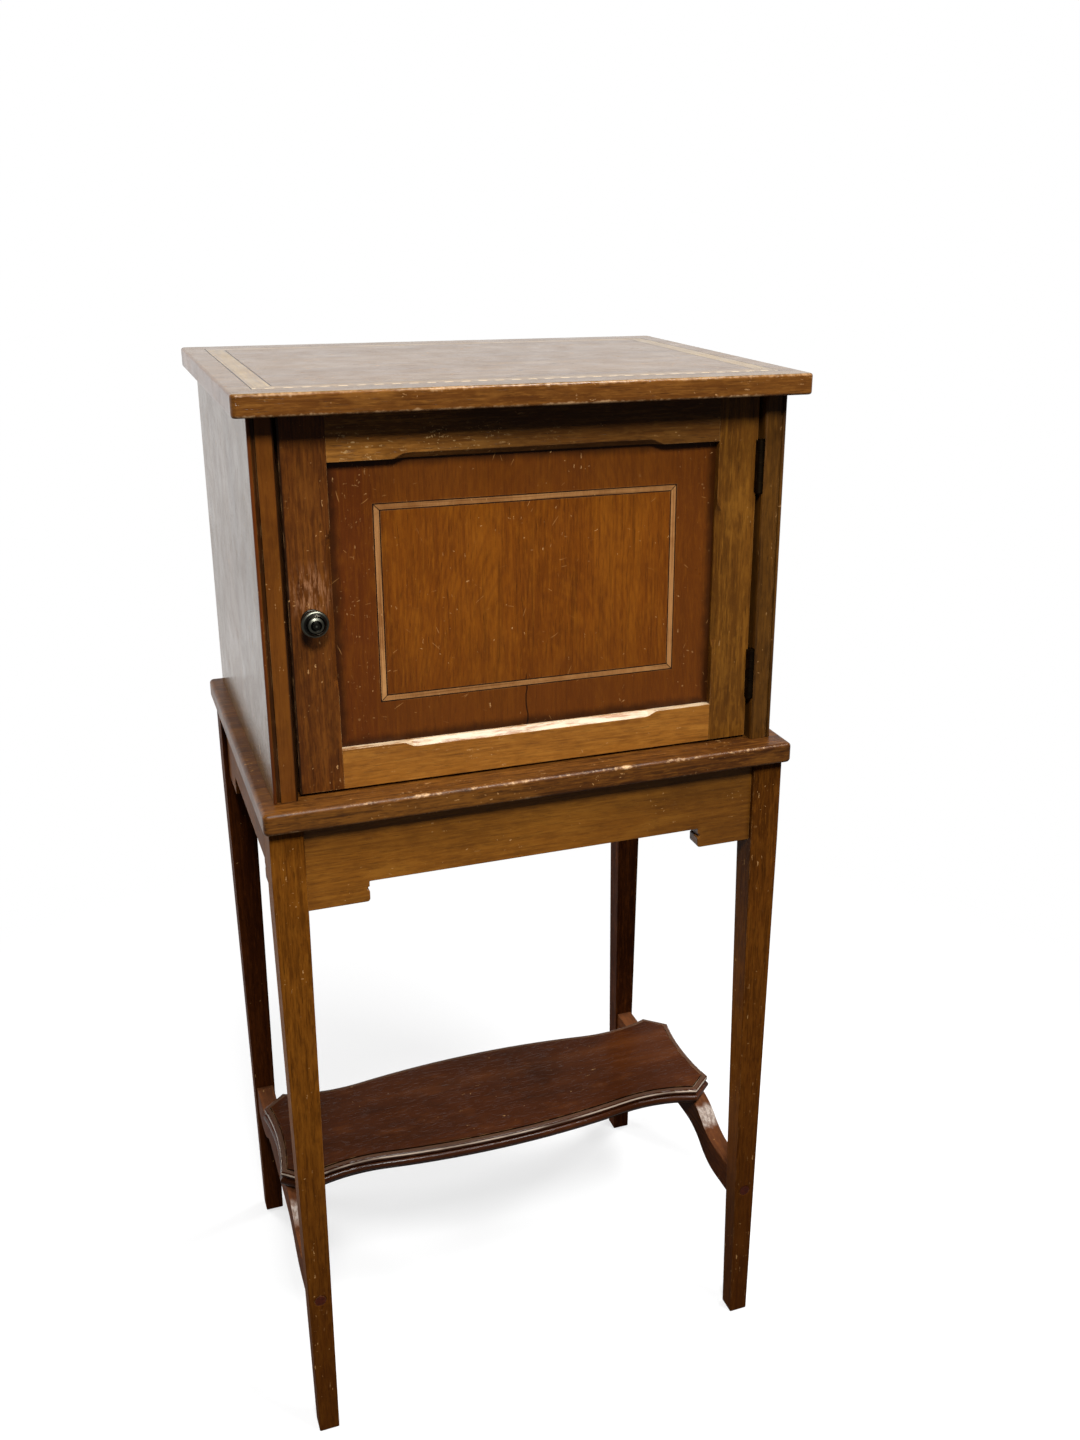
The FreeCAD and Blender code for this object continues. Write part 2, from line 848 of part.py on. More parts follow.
# Stand
def leg_blank():
    # Front left leg: square to the foot of the brackets, then tapered. Its front face stays upright.
    outer = -leg_outer
    inner = -leg_inner
    rear = leg_front + leg_section
    upper = box(outer, inner, leg_front, rear, bracket_bottom, stand_height)
    foot_outer = outer + foot_side_taper
    foot_inner = foot_outer + foot_section
    foot_rear = leg_front + foot_section
    shoulder = [
        Vector(outer, leg_front, bracket_bottom),
        Vector(inner, leg_front, bracket_bottom),
        Vector(inner, rear, bracket_bottom),
        Vector(outer, rear, bracket_bottom),
    ]
    foot = [
        Vector(foot_outer, leg_front, 0),
        Vector(foot_inner, leg_front, 0),
        Vector(foot_inner, foot_rear, 0),
        Vector(foot_outer, foot_rear, 0),
    ]
    lower = Part.makeLoft([polygon(shoulder), polygon(foot)], True, True)
    return upper.fuse(lower).removeSplitter()


def leg():
    reach = tenon_length + wood_clearance
    half = tenon_thickness / 2 + wood_clearance
    low = apron_bottom + tenon_shoulder - wood_clearance
    high = stand_height - tenon_shoulder + wood_clearance
    apron_y = (apron_front_y + apron_inner_y) / 2
    apron_x = (apron_outer_x + apron_inner_x) / 2
    rear = leg_front + leg_section
    front_mortise = box(-leg_inner - reach, -leg_inner, apron_y - half, apron_y + half, low, high)
    side_mortise = box(-apron_x - half, -apron_x + half, rear - reach, rear, low, high)
    plug = Part.makeCylinder(
        plug_radius + wood_clearance,
        plug_depth,
        Vector(-stretcher_x, leg_front, stretcher_end_middle),
        BACK,
    )
    point, direction = stretcher_screw_place()
    screw = wood_screw_hole(point, direction, stretcher_screw_length)
    return cut_all(leg_blank(), [front_mortise, side_mortise, plug, screw])


def apron(half_length):
    # Outline in X and Z with a notched bracket at each end, drawn out to its thickness along Y
    step = half_length - bracket_length
    round_offset = bracket_corner_radius * round_middle_share

    def at(u, z):
        return Vector(u, 0, z)

    edges = [
        line(at(-half_length, stand_height), at(half_length, stand_height)),
        line(at(-step, apron_bottom), at(step, apron_bottom)),
    ]
    notch = bracket_bottom + bracket_notch_height
    for side in (-1, 1):
        end = at(side * half_length, bracket_bottom)
        flat = at(side * (step + bracket_corner_radius), bracket_bottom)
        corner = at(side * (step + round_offset), bracket_bottom + round_offset)
        inner = [at(side * step, bracket_bottom + bracket_corner_radius)]
        inner.append(at(side * step, notch - bracket_notch_radius))
        inner.append(at(side * (step + bracket_notch_radius), notch))
        inner.append(at(side * step, notch + bracket_notch_radius))
        edges.append(line(at(side * half_length, stand_height), end))
        edges.append(line(end, flat))
        edges.append(arc(flat, corner, inner[0]))
        edges.append(line(inner[0], inner[1]))
        edges.append(arc(inner[1], inner[2], inner[3]))
        edges.append(line(inner[3], at(side * step, apron_bottom)))
    body = Part.Face(Part.Wire(Part.__sortEdges__(edges))).extrude(BACK * apron_thickness)
    middle = apron_thickness / 2
    half = tenon_thickness / 2
    low = apron_bottom + tenon_shoulder
    high = stand_height - tenon_shoulder
    reach = half_length + tenon_length
    return body.fuse(box(-reach, reach, middle - half, middle + half, low, high)).removeSplitter()


def front_apron():
    shape = apron(leg_inner)
    shape.translate(BACK * apron_front_y)
    return shape


def left_apron():
    shape = apron((leg_back - leg_front) / 2 - leg_section)
    shape.rotate(ORIGIN, UP, 90)
    shape.translate(Vector(-apron_inner_x, stand_middle, 0))
    return shape


def corner_block():
    # Glue block in the front left corner, notched round the leg
    base = stand_height - block_height
    leg_rear = leg_front + leg_section
    points = [
        Vector(-leg_inner, apron_inner_y, base),
        Vector(-leg_inner + block_length, apron_inner_y, base),
        Vector(-apron_inner_x, leg_rear + block_length, base),
        Vector(-apron_inner_x, leg_rear, base),
        Vector(-leg_inner, leg_rear, base),
    ]
    point, direction = stand_screw_place()
    return prism(points, UP * block_height).cut(wood_screw_hole(point, direction, stand_screw_length))


# Shelf
def shelf_outline():
    # Bowed front and back with hollows beside the bow, hollow sides and canted corners
    half_width = shelf_side
    half_depth = shelf_depth / 2
    low_x = shelf_low_share * half_width
    low_y = half_depth - shelf_front_dip
    corner_x = half_width - shelf_cant_width
    corner_y = half_depth - shelf_corner_setin
    ear_y = corner_y - shelf_cant_depth

    # The bow and the hollow touch where one turns into the other
    rise = corner_y - low_y
    hollow_radius = ((corner_x - low_x) ** 2 + rise ** 2) / (2 * rise)
    bow_share = 1 - 2 * shelf_front_dip * hollow_radius / (low_x ** 2 + shelf_front_dip ** 2)
    turn_x = bow_share * low_x
    turn_y = half_depth - bow_share * shelf_front_dip

    def at(x, y):
        return Vector(x, stand_middle + y, shelf_bottom)

    edges = []
    for s in (-1, 1):
        edges.append(arc(at(-turn_x, s * turn_y), at(0, s * half_depth), at(turn_x, s * turn_y)))
        hollow = half_width - shelf_side_hollow
        edges.append(arc(at(s * half_width, -ear_y), at(s * hollow, 0), at(s * half_width, ear_y)))
        for t in (-1, 1):
            start = at(s * turn_x, t * turn_y)
            corner = at(s * corner_x, t * corner_y)
            edges.append(arc(start, at(s * low_x, t * low_y), corner))
            edges.append(line(corner, at(s * half_width, t * ear_y)))
    return Part.Wire(Part.__sortEdges__(edges))


def shelf_layer(inset, base, height):
    wire = shelf_outline()
    if inset:
        wire = wire.makeOffset2D(-inset)
    layer = Part.Face(wire).extrude(UP * height)
    layer.translate(UP * (base - shelf_bottom))
    return layer


def shelf_layers():
    # Inset, height and edge rounding of each layer of the moulded edge, from the base up to the slab
    return (
        (shelf_base_inset, shelf_base_height, 0),
        (0, shelf_roll_height, shelf_roll_radius),
        (shelf_groove_inset, shelf_groove_height, 0),
        (shelf_bead_inset, shelf_bead_height, shelf_bead_radius),
        (shelf_slab_inset, shelf_slab_rise, 0),
    )


def shelf_quirk():
    # Narrow sunk line between the slab and the bead
    base = shelf_top_height - shelf_slab_rise - shelf_quirk_depth
    outer = shelf_layer(shelf_slab_inset - shelf_quirk_width, base, shelf_quirk_depth)
    return outer.cut(shelf_layer(shelf_slab_inset, base, shelf_quirk_depth))


def shelf():
    pieces = []
    base = shelf_bottom
    for inset, height, radius in shelf_layers():
        layer = shelf_layer(inset, base, height)
        if radius:
            layer = layer.makeFillet(radius, level_edges(layer, base) + level_edges(layer, base + height))
        pieces.append(layer)
        base += height
    board = pieces[0].fuse(pieces[1:]).removeSplitter()
    cuts = [shelf_quirk()]
    for point, direction in shelf_screw_places():
        cuts += both_sides(wood_screw_hole(point, direction, shelf_screw_length))
    return cut_all(board, cuts)


# Stretchers
def ogee(start, end):
    # Two equal arcs that leave start level and reach end level, in the YZ plane
    run = end.y - start.y
    drop = start.z - end.z
    radius = (run * run + drop * drop) / (4 * abs(drop))
    half_turn = math.asin(abs(run) / 2 / radius) / 2
    ahead = math.copysign(radius * math.sin(half_turn), run)
    down = math.copysign(radius * (1 - math.cos(half_turn)), drop)
    middle = (start + end) / 2
    first = arc(start, start + Vector(0, ahead, -down), middle)
    second = arc(middle, end + Vector(0, -ahead, down), end)
    return [first, second]


def stretcher_edge(height):
    # Line of the top or bottom edge from the front leg to the back leg
    x = -stretcher_x - stretcher_width / 2
    flat = stretcher_flat_length / 2
    bend = flat + stretcher_ogee_length
    low = height - stretcher_drop

    def at(y, z):
        return Vector(x, stand_middle + y, z)

    tip = (leg_back - leg_front) / 2 - foot_section / 2
    edges = [line(at(-tip, low), at(-bend, low))]
    edges += ogee(at(-bend, low), at(-flat, height))
    edges.append(line(at(-flat, height), at(flat, height)))
    edges += ogee(at(flat, height), at(bend, low))
    edges.append(line(at(bend, low), at(tip, low)))
    return edges, at(-tip, low), at(tip, low)


def left_stretcher():
    upper, upper_front, upper_back = stretcher_edge(shelf_bottom)
    lower, lower_front, lower_back = stretcher_edge(shelf_bottom - stretcher_depth)
    edges = upper + lower + [line(upper_front, lower_front), line(upper_back, lower_back)]
    body = Part.Face(Part.Wire(Part.__sortEdges__(edges))).extrude(RIGHT * stretcher_width)
    front_leg = leg_blank()
    point, direction = stretcher_screw_place()
    screw = wood_screw_hole(point, direction, stretcher_screw_length)
    cuts = [front_leg, mirror_y(front_leg), screw, mirror_y(screw)]
    cuts += [wood_screw_hole(p, d, shelf_screw_length) for p, d in shelf_screw_places()]
    for tool in cuts:
        body = body.cut(tool)
    return body


def stretcher_plug():
    return Part.makeCylinder(
        plug_radius,
        plug_depth,
        Vector(-stretcher_x, leg_front, stretcher_end_middle),
        BACK,
    )


# Every piece, saved under its own name
def save_case():
    band, lines = banded_inlay(*top_inlay, top_line_width, on_top, -UP * inlay_depth)
    save("top_board", top_board())
    save("top_banding", band)
    save("top_banding_lines", lines)
    save("left_side_board", left_side_board())
    save("right_side_board", right_side_board())
    save("back_board", back_board())
    save("top_front_rail", top_rail(stop_face))
    save("top_back_rail", top_rail(back_board_face - rail_depth))
    save("door_stop", door_stop())
    save("mid_board", mid_board())
    save("top_screws", [wood_screw(p, d, top_screw_length) for p, d in top_screw_places()])
    save("case_screws", [wood_screw(p, d, case_screw_length) for p, d in case_screw_places()])
    save("back_board_pins", [panel_pin(p, d, 0) for p, d in back_pin_places()])


def save_door():
    band, lines = banded_inlay(*door_inlay_size, door_inlay_line, on_panel, BACK * inlay_depth)
    save("door_left_stile", door_left_stile())
    save("door_right_stile", door_right_stile())
    save("door_top_rail", door_rail(door_top, rail_low_edge, UP))
    save("door_bottom_rail", door_rail(door_bottom, rail_high_edge, -UP))
    save("door_panel", door_panel())
    save("door_inlay", band)
    save("door_inlay_lines", lines)
    for name, height in zip(("upper", "lower"), hinge_heights):
        save(name + "_hinge_case_leaf", case_leaf(height))
        save(name + "_hinge_door_leaf", door_leaf(height))
        save(name + "_hinge_pin", hinge_pin(height))
    save("hinge_case_screws", [small_screw(p, d) for p, d in hinge_case_places()])
    save("hinge_door_screws", [small_screw(p, d) for p, d in hinge_door_places()])


def save_catch():
    save("knob", knob())
    save("knob_rose", knob_rose())
    save("knob_spindle", knob_spindle())
    save("latch_spacer", latch_spacer())
    save("latch_tongue", latch_tongue())
    save("latch_nut", latch_nut())


def save_stand():
    names = ("front_left_leg", "front_right_leg", "back_left_leg", "back_right_leg")
    for name, shape in zip(names, four_corners(leg())):
        save(name, shape)
    save("front_apron", front_apron())
    save("back_apron", mirror_y(front_apron()))
    save("left_apron", left_apron())
    save("right_apron", mirror_x(left_apron()))
    save("corner_blocks", four_corners(corner_block()))
    point, direction = stand_screw_place()
    save("stand_screws", four_corners(wood_screw(point, direction, stand_screw_length)))


def save_shelf():
    save("shelf", shelf())
    save("left_stretcher", left_stretcher())
    save("right_stretcher", mirror_x(left_stretcher()))
    point, direction = stretcher_screw_place()
    save("stretcher_screws", four_corners(wood_screw(point, direction, stretcher_screw_length)))
    save("stretcher_plugs", four_corners(stretcher_plug()))
    screws = []
    for point, direction in shelf_screw_places():
        screws += both_sides(wood_screw(point, direction, shelf_screw_length))
    save("shelf_screws", screws)


os.makedirs("parts", exist_ok=True)
save_case()
save_door()
save_catch()
save_stand()
save_shelf()
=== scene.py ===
import math
from collections import namedtuple
import bpy
from mathutils import Matrix, Vector


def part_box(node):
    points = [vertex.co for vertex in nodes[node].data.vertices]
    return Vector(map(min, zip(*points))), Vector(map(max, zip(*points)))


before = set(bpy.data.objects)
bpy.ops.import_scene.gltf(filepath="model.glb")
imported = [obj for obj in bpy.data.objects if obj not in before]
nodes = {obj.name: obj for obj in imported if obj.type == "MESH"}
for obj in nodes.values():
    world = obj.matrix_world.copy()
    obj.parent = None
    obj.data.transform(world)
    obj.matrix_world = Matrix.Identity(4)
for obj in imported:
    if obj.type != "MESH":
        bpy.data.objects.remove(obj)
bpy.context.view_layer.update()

# Lengths and places are in metres. A pair of them is where a mark starts and where it is full.
MM = 0.001

# Wear that all woods and metals share
WORN_EDGE = 1.1 * MM
WOOD_RELIEF = 0.25 * MM
METAL_WORN_EDGE = 0.5 * MM
METAL_RELIEF = 0.03 * MM
CHIP_RAGGED = 2.5 * MM
SCRATCH_BEND = 5 * MM

# Top board, mid board and banding
DASH_PITCH = 11.7 * MM
DASH_ROW_START = -1000 * MM
DASH_INSET = 25 * MM
DASH_HALF_WIDTH = 1.1 * MM
DASH_SOFT = 0.5 * MM
NICK_RAGGED = 4 * MM
ARRIS_LEAST_REACH = -3.0 * MM
ARRIS_MOST_REACH = 1.2 * MM
ARRIS_RAGGED = 4 * MM
ARRIS_SOFT = 0.9 * MM
MITRE_HALF_WIDTH = 0.35 * MM
MITRE_SOFT = 0.3 * MM
STRIP_CHANGE = 0.2 * MM

# Left side board, and the gap between the case and the door
SIDE_BEAD_WIDTH = 2.6 * MM
SIDE_QUIRK_WIDTH = 2.4 * MM
SIDE_QUIRK_SOFT = 0.3 * MM
SIDE_MOULDING_DEPTHS = (4 * MM, 3 * MM)
# Painted shade beside the gap: how far it reaches from the gap and back from the front
SEAM_WIDTHS = (2 * MM, 1 * MM)
SEAM_DEPTHS = (6 * MM, 4 * MM)

# Door
ARCH_MIDDLE_X = 12 * MM
ARCH_PITCH = 17 * MM
ARCH_WANDER = 34 * MM
BORDER_EDGE = (-0.5 * MM, 1 * MM)
BORDER_RED_FADE = 8 * MM
BORDER_FLECKS = (6 * MM, -2 * MM)
LOW_SHADE_DROP = 30 * MM
# Grime and painted shade along the panel's frame, measured outside the inlay
FRAME_DIRT_AND_SHADE = (24 * MM, 32 * MM)
FRAME_DIRT_AND_SHADE_RAGGED = 6 * MM
CRACK_X = -4 * MM
CRACK_TOP = 629 * MM
CRACK_TAPER = 8 * MM
CRACK_HALF_WIDTH = 0.35 * MM
CRACK_SOFT = 0.3 * MM
CRACK_WANDER = 5 * MM
PANEL_SCRATCH_BEND = 6 * MM
RUBBED_RISE = 19 * MM
RUBBED_RADII = (20.4 * MM, 5.1 * MM)
CHIPPED_LENGTHS = (220 * MM, 66 * MM)
CHIPPED_HEIGHTS = (26 * MM, 15.6 * MM)
# Painted shade on the top rail: where it starts and where it is full
RAIL_SHADE = (-90 * MM, 10 * MM)

# Stand
# Painted shade on the front apron: where it starts and where it is full
APRON_SHADE = (20 * MM, 170 * MM)
# Painted shade on the front legs: heights where it starts and where it is full, and how uneven it is
LEG_SHADE_HEIGHTS = (460 * MM, 120 * MM)
LEG_SHADE_UNEVEN = 160 * MM
# Painted highlight on the stretchers' slope: its middle, half length, soft edge and raggedness
STRETCHER_HIGHLIGHT_MIDDLE = 77 * MM
STRETCHER_HIGHLIGHT_HALF_LENGTH = 4 * MM
STRETCHER_HIGHLIGHT_SOFT = 8 * MM
STRETCHER_HIGHLIGHT_RAGGED = 10 * MM
# Painted shade in the shelf's quirk: its drop below the top, half height and soft edge
SHELF_QUIRK_DROP = 0.9 * MM
SHELF_QUIRK_HALF_HEIGHT = 0.6 * MM
SHELF_QUIRK_SOFT = 0.2 * MM
BEAD_TOP_DROP = 0.8 * MM
BEAD_TOP_HALF_HEIGHT = 0.1 * MM
BEAD_TOP_SOFT = 0.1 * MM
# Painted highlight along the shelf's bead: its drop below the top, half height and soft edge
BEAD_HIGHLIGHT_DROP = 2.6 * MM
BEAD_HIGHLIGHT_HALF_HEIGHT = 0.55 * MM
BEAD_HIGHLIGHT_SOFT = 0.3 * MM

# Rounding of the sharp edges of plain pieces: its width, and the pieces that get it
EDGE_ROUNDING = {
    0.3 * MM: ("back_board", "latch_tongue"),
    0.35 * MM: ("door_left_stile", "door_right_stile", "door_top_rail", "door_bottom_rail"),
    0.4 * MM: ("left_side_board", "right_side_board", "door_stop"),
    0.5 * MM: ("corner_blocks", "top_front_rail", "top_back_rail"),
    0.6 * MM: ("front_apron", "back_apron", "left_apron", "right_apron"),
    0.8 * MM: ("front_left_leg", "front_right_leg", "back_left_leg", "back_right_leg"),
    0.9 * MM: ("left_stretcher", "right_stretcher"),
}
WELD_DISTANCE = 0.001 * MM
FLAT_ANGLE = math.radians(0.3)
SHARP_ANGLE = math.radians(34)
ROUNDING_SEGMENTS = 2


def linear(value):
    """The usual step from a screen's colour value (sRGB) to the light that it stands for."""
    share = value / 255
    return share / 12.92 if share <= 0.04045 else ((share + 0.055) / 1.055) ** 2.4


def tone(red, green, blue):
    """A colour as it looks on a screen, each part from 0 to 255, as Blender's linear colour."""
    return (linear(red), linear(green), linear(blue), 1.0)


# A noise pattern: swells per metre across and along an axis, its fineness, its roughness and its bend
Pattern = namedtuple("Pattern", "across along detail roughness bend", defaults=(0.5, 0.0))
# A pattern turned into a mask: 0 where the noise is at start, 1 where it is at end
Mask = namedtuple("Mask", "pattern start end")
# Places moved about by noise: its swells per metre, and how far it moves them
Shake = namedtuple("Shake", "swells reach")
# Spots in a share of the cells of a scattered pattern, and their largest radius as a share of a cell
Flecks = namedtuple("Flecks", "filled_share radius_share")

AXES = {"X": 0, "Y": 1, "Z": 2}
SEED_STEPS = (3.71, 5.13, 2.39)
SMALLEST_FLECK_SHARE = 0.3
EDGE_SAMPLES = 6
EDGE_MATCHES = (0.985, 0.80)
BUMP_STRENGTH = 0.6
SHAKE_DETAIL = 2.0
NOISE_MIDDLE = (0.5, 0.5, 0.5)

# Sockets of Blender's mix node for colours
MIX_SHARE = 0
MIX_FIRST = 6
MIX_SECOND = 7
MIX_RESULT = 2


def grain_scale(axis, across, along):
    scale = [across, across, across]
    scale[AXES[axis]] = along
    return scale


def seed_offset(seed):
    return tuple(seed * step for step in SEED_STEPS)


class Graph:
    """The node tree of a material or world, with short ways to add nodes and link them."""

    def __init__(self, owner, coordinates="Object"):
        owner.use_nodes = True
        self.owner = owner
        self.tree = owner.node_tree
        self.tree.nodes.clear()
        self.place = self.node("ShaderNodeTexCoord").outputs[coordinates]
        parts = self.node("ShaderNodeSeparateXYZ", {"Vector": self.place}).outputs
        self.x, self.y, self.z = parts["X"], parts["Y"], parts["Z"]

    def node(self, kind, inputs=None, **settings):
        made = self.tree.nodes.new(kind)
        for name, value in settings.items():
            setattr(made, name, value)
        for name, value in (inputs or {}).items():
            self.give(made.inputs[name], value)
        return made

    def give(self, socket, value):
        if isinstance(value, bpy.types.NodeSocket):
            self.tree.links.new(value, socket)
        else:
            socket.default_value = value

    def math(self, operation, first, second=0.0):
        return self.node("ShaderNodeMath", {0: first, 1: second}, operation=operation).outputs[0]

    def vector_math(self, operation, inputs):
        return self.node("ShaderNodeVectorMath", inputs, operation=operation).outputs

    def chain(self, operation, values):
        result = values[0]
        for value in values[1:]:
            result = self.math(operation, result, value)
        return result

    def product(self, *values):
        return self.chain("MULTIPLY", values)

    def total(self, *values):
        return self.chain("ADD", values)

    def highest(self, *values):
        return self.chain("MAXIMUM", values)

    def difference(self, first, second):
        return self.math("SUBTRACT", first, second)

    def away(self, value, middle):
        return self.math("ABSOLUTE", self.difference(value, middle))

    def radius(self, across, up):
        return self.math("SQRT", self.total(self.product(across, across), self.product(up, up)))

    def step(self, value, start, end):
        """0 up to start and 1 from end on, or the other way round where start is the larger."""
        inputs = {"Value": value, "From Min": start, "From Max": end}
        return self.node("ShaderNodeMapRange", inputs, interpolation_type="SMOOTHSTEP").outputs["Result"]

    def scaled(self, value, low, high):
        """A share from 0 to 1 turned into a value from low to high."""
        inputs = {"Value": value, "To Min": low, "To Max": high}
        return self.node("ShaderNodeMapRange", inputs).outputs["Result"]

    def near(self, value, middle, half_width, soft):
        """1 within half_width of middle and 0 beyond soft more."""
        return self.step(self.away(value, middle), half_width + soft, half_width)

    def mix(self, share, first, second):
        inputs = {MIX_SHARE: share, MIX_FIRST: first, MIX_SECOND: second}
        return self.node("ShaderNodeMix", inputs, data_type="RGBA").outputs[MIX_RESULT]

    def mapped(self, scale, offset):
        inputs = {"Vector": self.place, "Location": offset, "Scale": scale}
        return self.node("ShaderNodeMapping", inputs).outputs["Vector"]

    def turned(self, vector, turn, scale):
        """The place turned about the three axes first, then stretched."""
        shrink = [1 / part for part in scale]
        inputs = {"Vector": vector, "Rotation": turn, "Scale": shrink}
        return self.node("ShaderNodeMapping", inputs, vector_type="TEXTURE").outputs["Vector"]

    def shaken(self, shake, offset):
        """The place moved about by noise, so that what is drawn there gets a ragged outline."""
        vector = self.mapped((shake.swells, shake.swells, shake.swells), offset)
        inputs = {"Vector": vector, "Scale": 1.0, "Detail": SHAKE_DETAIL}
        colour = self.node("ShaderNodeTexNoise", inputs).outputs["Color"]
        centred = self.vector_math("SUBTRACT", {0: colour, 1: NOISE_MIDDLE})[0]
        move = self.vector_math("SCALE", {0: centred, "Scale": shake.reach})[0]
        return self.vector_math("ADD", {0: self.place, 1: move})[0]

    def pattern(self, pattern, offset, axis="X"):
        """Noise from 0 to 1. A pattern that is alike across and along needs no axis."""
        inputs = {
            "Vector": self.mapped(grain_scale(axis, pattern.across, pattern.along), offset),
            "Scale": 1.0,
            "Detail": pattern.detail,
            "Roughness": pattern.roughness,
            "Distortion": pattern.bend,
        }
        return self.node("ShaderNodeTexNoise", inputs).outputs["Fac"]

    def mask(self, mask, offset, axis="X"):
        return self.step(self.pattern(mask.pattern, offset, axis), mask.start, mask.end)

    def flecks(self, vector, flecks, amount=1.0):
        """Small spots of uneven size, in a share of the cells of a scattered pattern."""
        cells = self.node("ShaderNodeTexVoronoi", {"Vector": vector, "Scale": 1.0})
        chance = self.node("ShaderNodeSeparateColor", {"Color": cells.outputs["Color"]}).outputs
        kept = self.math("LESS_THAN", chance["Red"], flecks.filled_share * amount)
        smallest = flecks.radius_share * SMALLEST_FLECK_SHARE
        reach = self.scaled(chance["Green"], smallest, flecks.radius_share)
        inside = self.math("LESS_THAN", cells.outputs["Distance"], reach)
        return self.product(kept, inside)

    def edges(self, radius):
        """1 on outer edges and in corners, falling to 0 over about the radius."""
        soft = self.node("ShaderNodeBevel", {"Radius": radius}, samples=EDGE_SAMPLES).outputs["Normal"]
        hard = self.node("ShaderNodeNewGeometry").outputs["Normal"]
        match = self.vector_math("DOT_PRODUCT", {0: soft, 1: hard})["Value"]
        return self.step(match, *EDGE_MATCHES)

    def facing(self, axis):
        """How far the surface looks along an axis: 1 straight along it, -1 straight against it."""
        normal = self.node("ShaderNodeTexCoord").outputs["Normal"]
        return self.node("ShaderNodeSeparateXYZ", {"Vector": normal}).outputs[axis]

    def finish(self, colour, roughness, height, depth, fixed):
        bump_inputs = {"Height": height, "Distance": depth, "Strength": BUMP_STRENGTH}
        bump = self.node("ShaderNodeBump", bump_inputs)
        inputs = {"Base Color": colour, "Roughness": roughness, "Normal": bump.outputs["Normal"]}
        shader = self.node("ShaderNodeBsdfPrincipled", {**inputs, **fixed})
        self.node("ShaderNodeOutputMaterial", {"Surface": shader.outputs["BSDF"]})
        return self.owner


# Tones and gloss that many woods share
RAW_WOOD = tone(200, 152, 96)
# Dark tone for grime, pores, cracks and joints, and also for painted shade in gaps, grooves and along the
# panel's frame
GRIME_AND_SHADE = tone(18, 7, 2)
VARNISH_IOR = 1.3
WORN_VARNISH_IOR = 1.08
THICK_VARNISH_IOR = 1.4

# How a surface has to face for a mark: the start and the full end of the range
FACES_UP = (0.6, 0.9)
FACES_DOWN = (-0.4, -0.8)
FACES_LEFT = (-0.6, -0.9)
SLOPES_UP = (0.3, 0.5)

# Pale chips along the grain, dots, and scratches across it. Cells are counted per metre.
CHIP_CELLS = (560, 120)
CHIPS = Flecks(0.09, 0.36)
CHIP_SHAKE = Shake(260, CHIP_RAGGED)
NO_TURN = (0, 0, 0)
DOT_CELLS = (260, 260, 260)
DOT_TURN = (0.4, 0.3, 0.2)
DOTS = Flecks(0.02, 0.26)
SCRATCH_ANGLES = (-0.9, -0.35, 0.3, 0.8)
SCRATCH_CELLS_ALONG = (75, 84, 93, 102)
SCRATCH_CELLS_ACROSS = 640
SCRATCHES = Flecks(0.03, 0.3)
SCRATCH_SHAKE = Shake(60, SCRATCH_BEND)
CHIPPED_ZONES = Mask(Pattern(26, 26, 3), 0.44, 0.60)
BROKEN_CHIPS = Mask(Pattern(800, 800, 2), 0.40, 0.54)


def specks_and_scratches(g, grain, offset, amount):
    """Pale chips that run with the grain and scratches that cross it, gathered in some places."""
    ragged = g.shaken(CHIP_SHAKE, offset)
    chips = g.flecks(g.turned(ragged, NO_TURN, grain_scale(grain, *CHIP_CELLS)), CHIPS, amount)
    dots = g.flecks(g.turned(ragged, DOT_TURN, DOT_CELLS), DOTS, amount)
    found = [chips, dots]
    for angle, along in zip(SCRATCH_ANGLES, SCRATCH_CELLS_ALONG):
        cells = (along, SCRATCH_CELLS_ACROSS, SCRATCH_CELLS_ACROSS)
        place = g.turned(g.shaken(SCRATCH_SHAKE, offset), (angle, angle, angle), cells)
        found.append(g.flecks(place, SCRATCHES, amount))
    return g.product(g.highest(*found), g.mask(CHIPPED_ZONES, offset), g.mask(BROKEN_CHIPS, offset))


# The noises that make up a wood, from broad to fine
WOOD_PATTERNS = {
    "cloud": Pattern(14, 14, 5, 0.65),
    "figure": Pattern(17, 1.6, 3, 0.5, 0.6),
    "sheen": Pattern(38, 38, 3),
    "blotch": Pattern(60, 26, 3, 0.6),
    "patches": Pattern(70, 70, 3, 0.6),
    "veins": Pattern(150, 7.0, 4, 0.7),
    "mottle": Pattern(190, 90, 3, 0.65),
    "streak": Pattern(380, 13.0, 4, 0.66),
    "short": Pattern(620, 80, 3, 0.6),
    "fine": Pattern(1000, 50.0, 2, 0.6),
    "pores": Pattern(1500, 90.0, 1),
}
PORE_HOLLOWS = (0.62, 0.74)
# A stain over the wood: from start to end of its noise, up to a share of the stain is mixed in.
# The stains that draw the grain are also scaled by how streaky the piece is.
Layer = namedtuple("Layer", "pattern start end share stain draws_grain")
WOOD_LAYERS = (
    Layer("figure", 0.50, 0.80, 0.8, "light", False),
    Layer("streak", 0.50, 0.66, 0.7, "dark", True),
    Layer("streak", 0.48, 0.34, 0.6, "light", True),
    Layer("veins", 0.56, 0.70, 0.35, "grime", True),
    Layer("fine", 0.50, 0.68, 0.30, "grime", True),
    Layer("pores", *PORE_HOLLOWS, 0.5, "grime", True),
    Layer("cloud", 0.48, 0.74, 0.6, "dark", False),
    Layer("blotch", 0.46, 0.26, 0.5, "light", False),
    Layer("blotch", 0.55, 0.75, 0.5, "dark", False),
    Layer("mottle", 0.54, 0.70, 0.4, "dark", True),
    Layer("mottle", 0.46, 0.30, 0.3, "light", True),
    Layer("short", 0.53, 0.68, 0.5, "light", True),
    Layer("short", 0.47, 0.32, 0.45, "dark", True),
)
FIGURE_BASE = (0.25, 0.55)
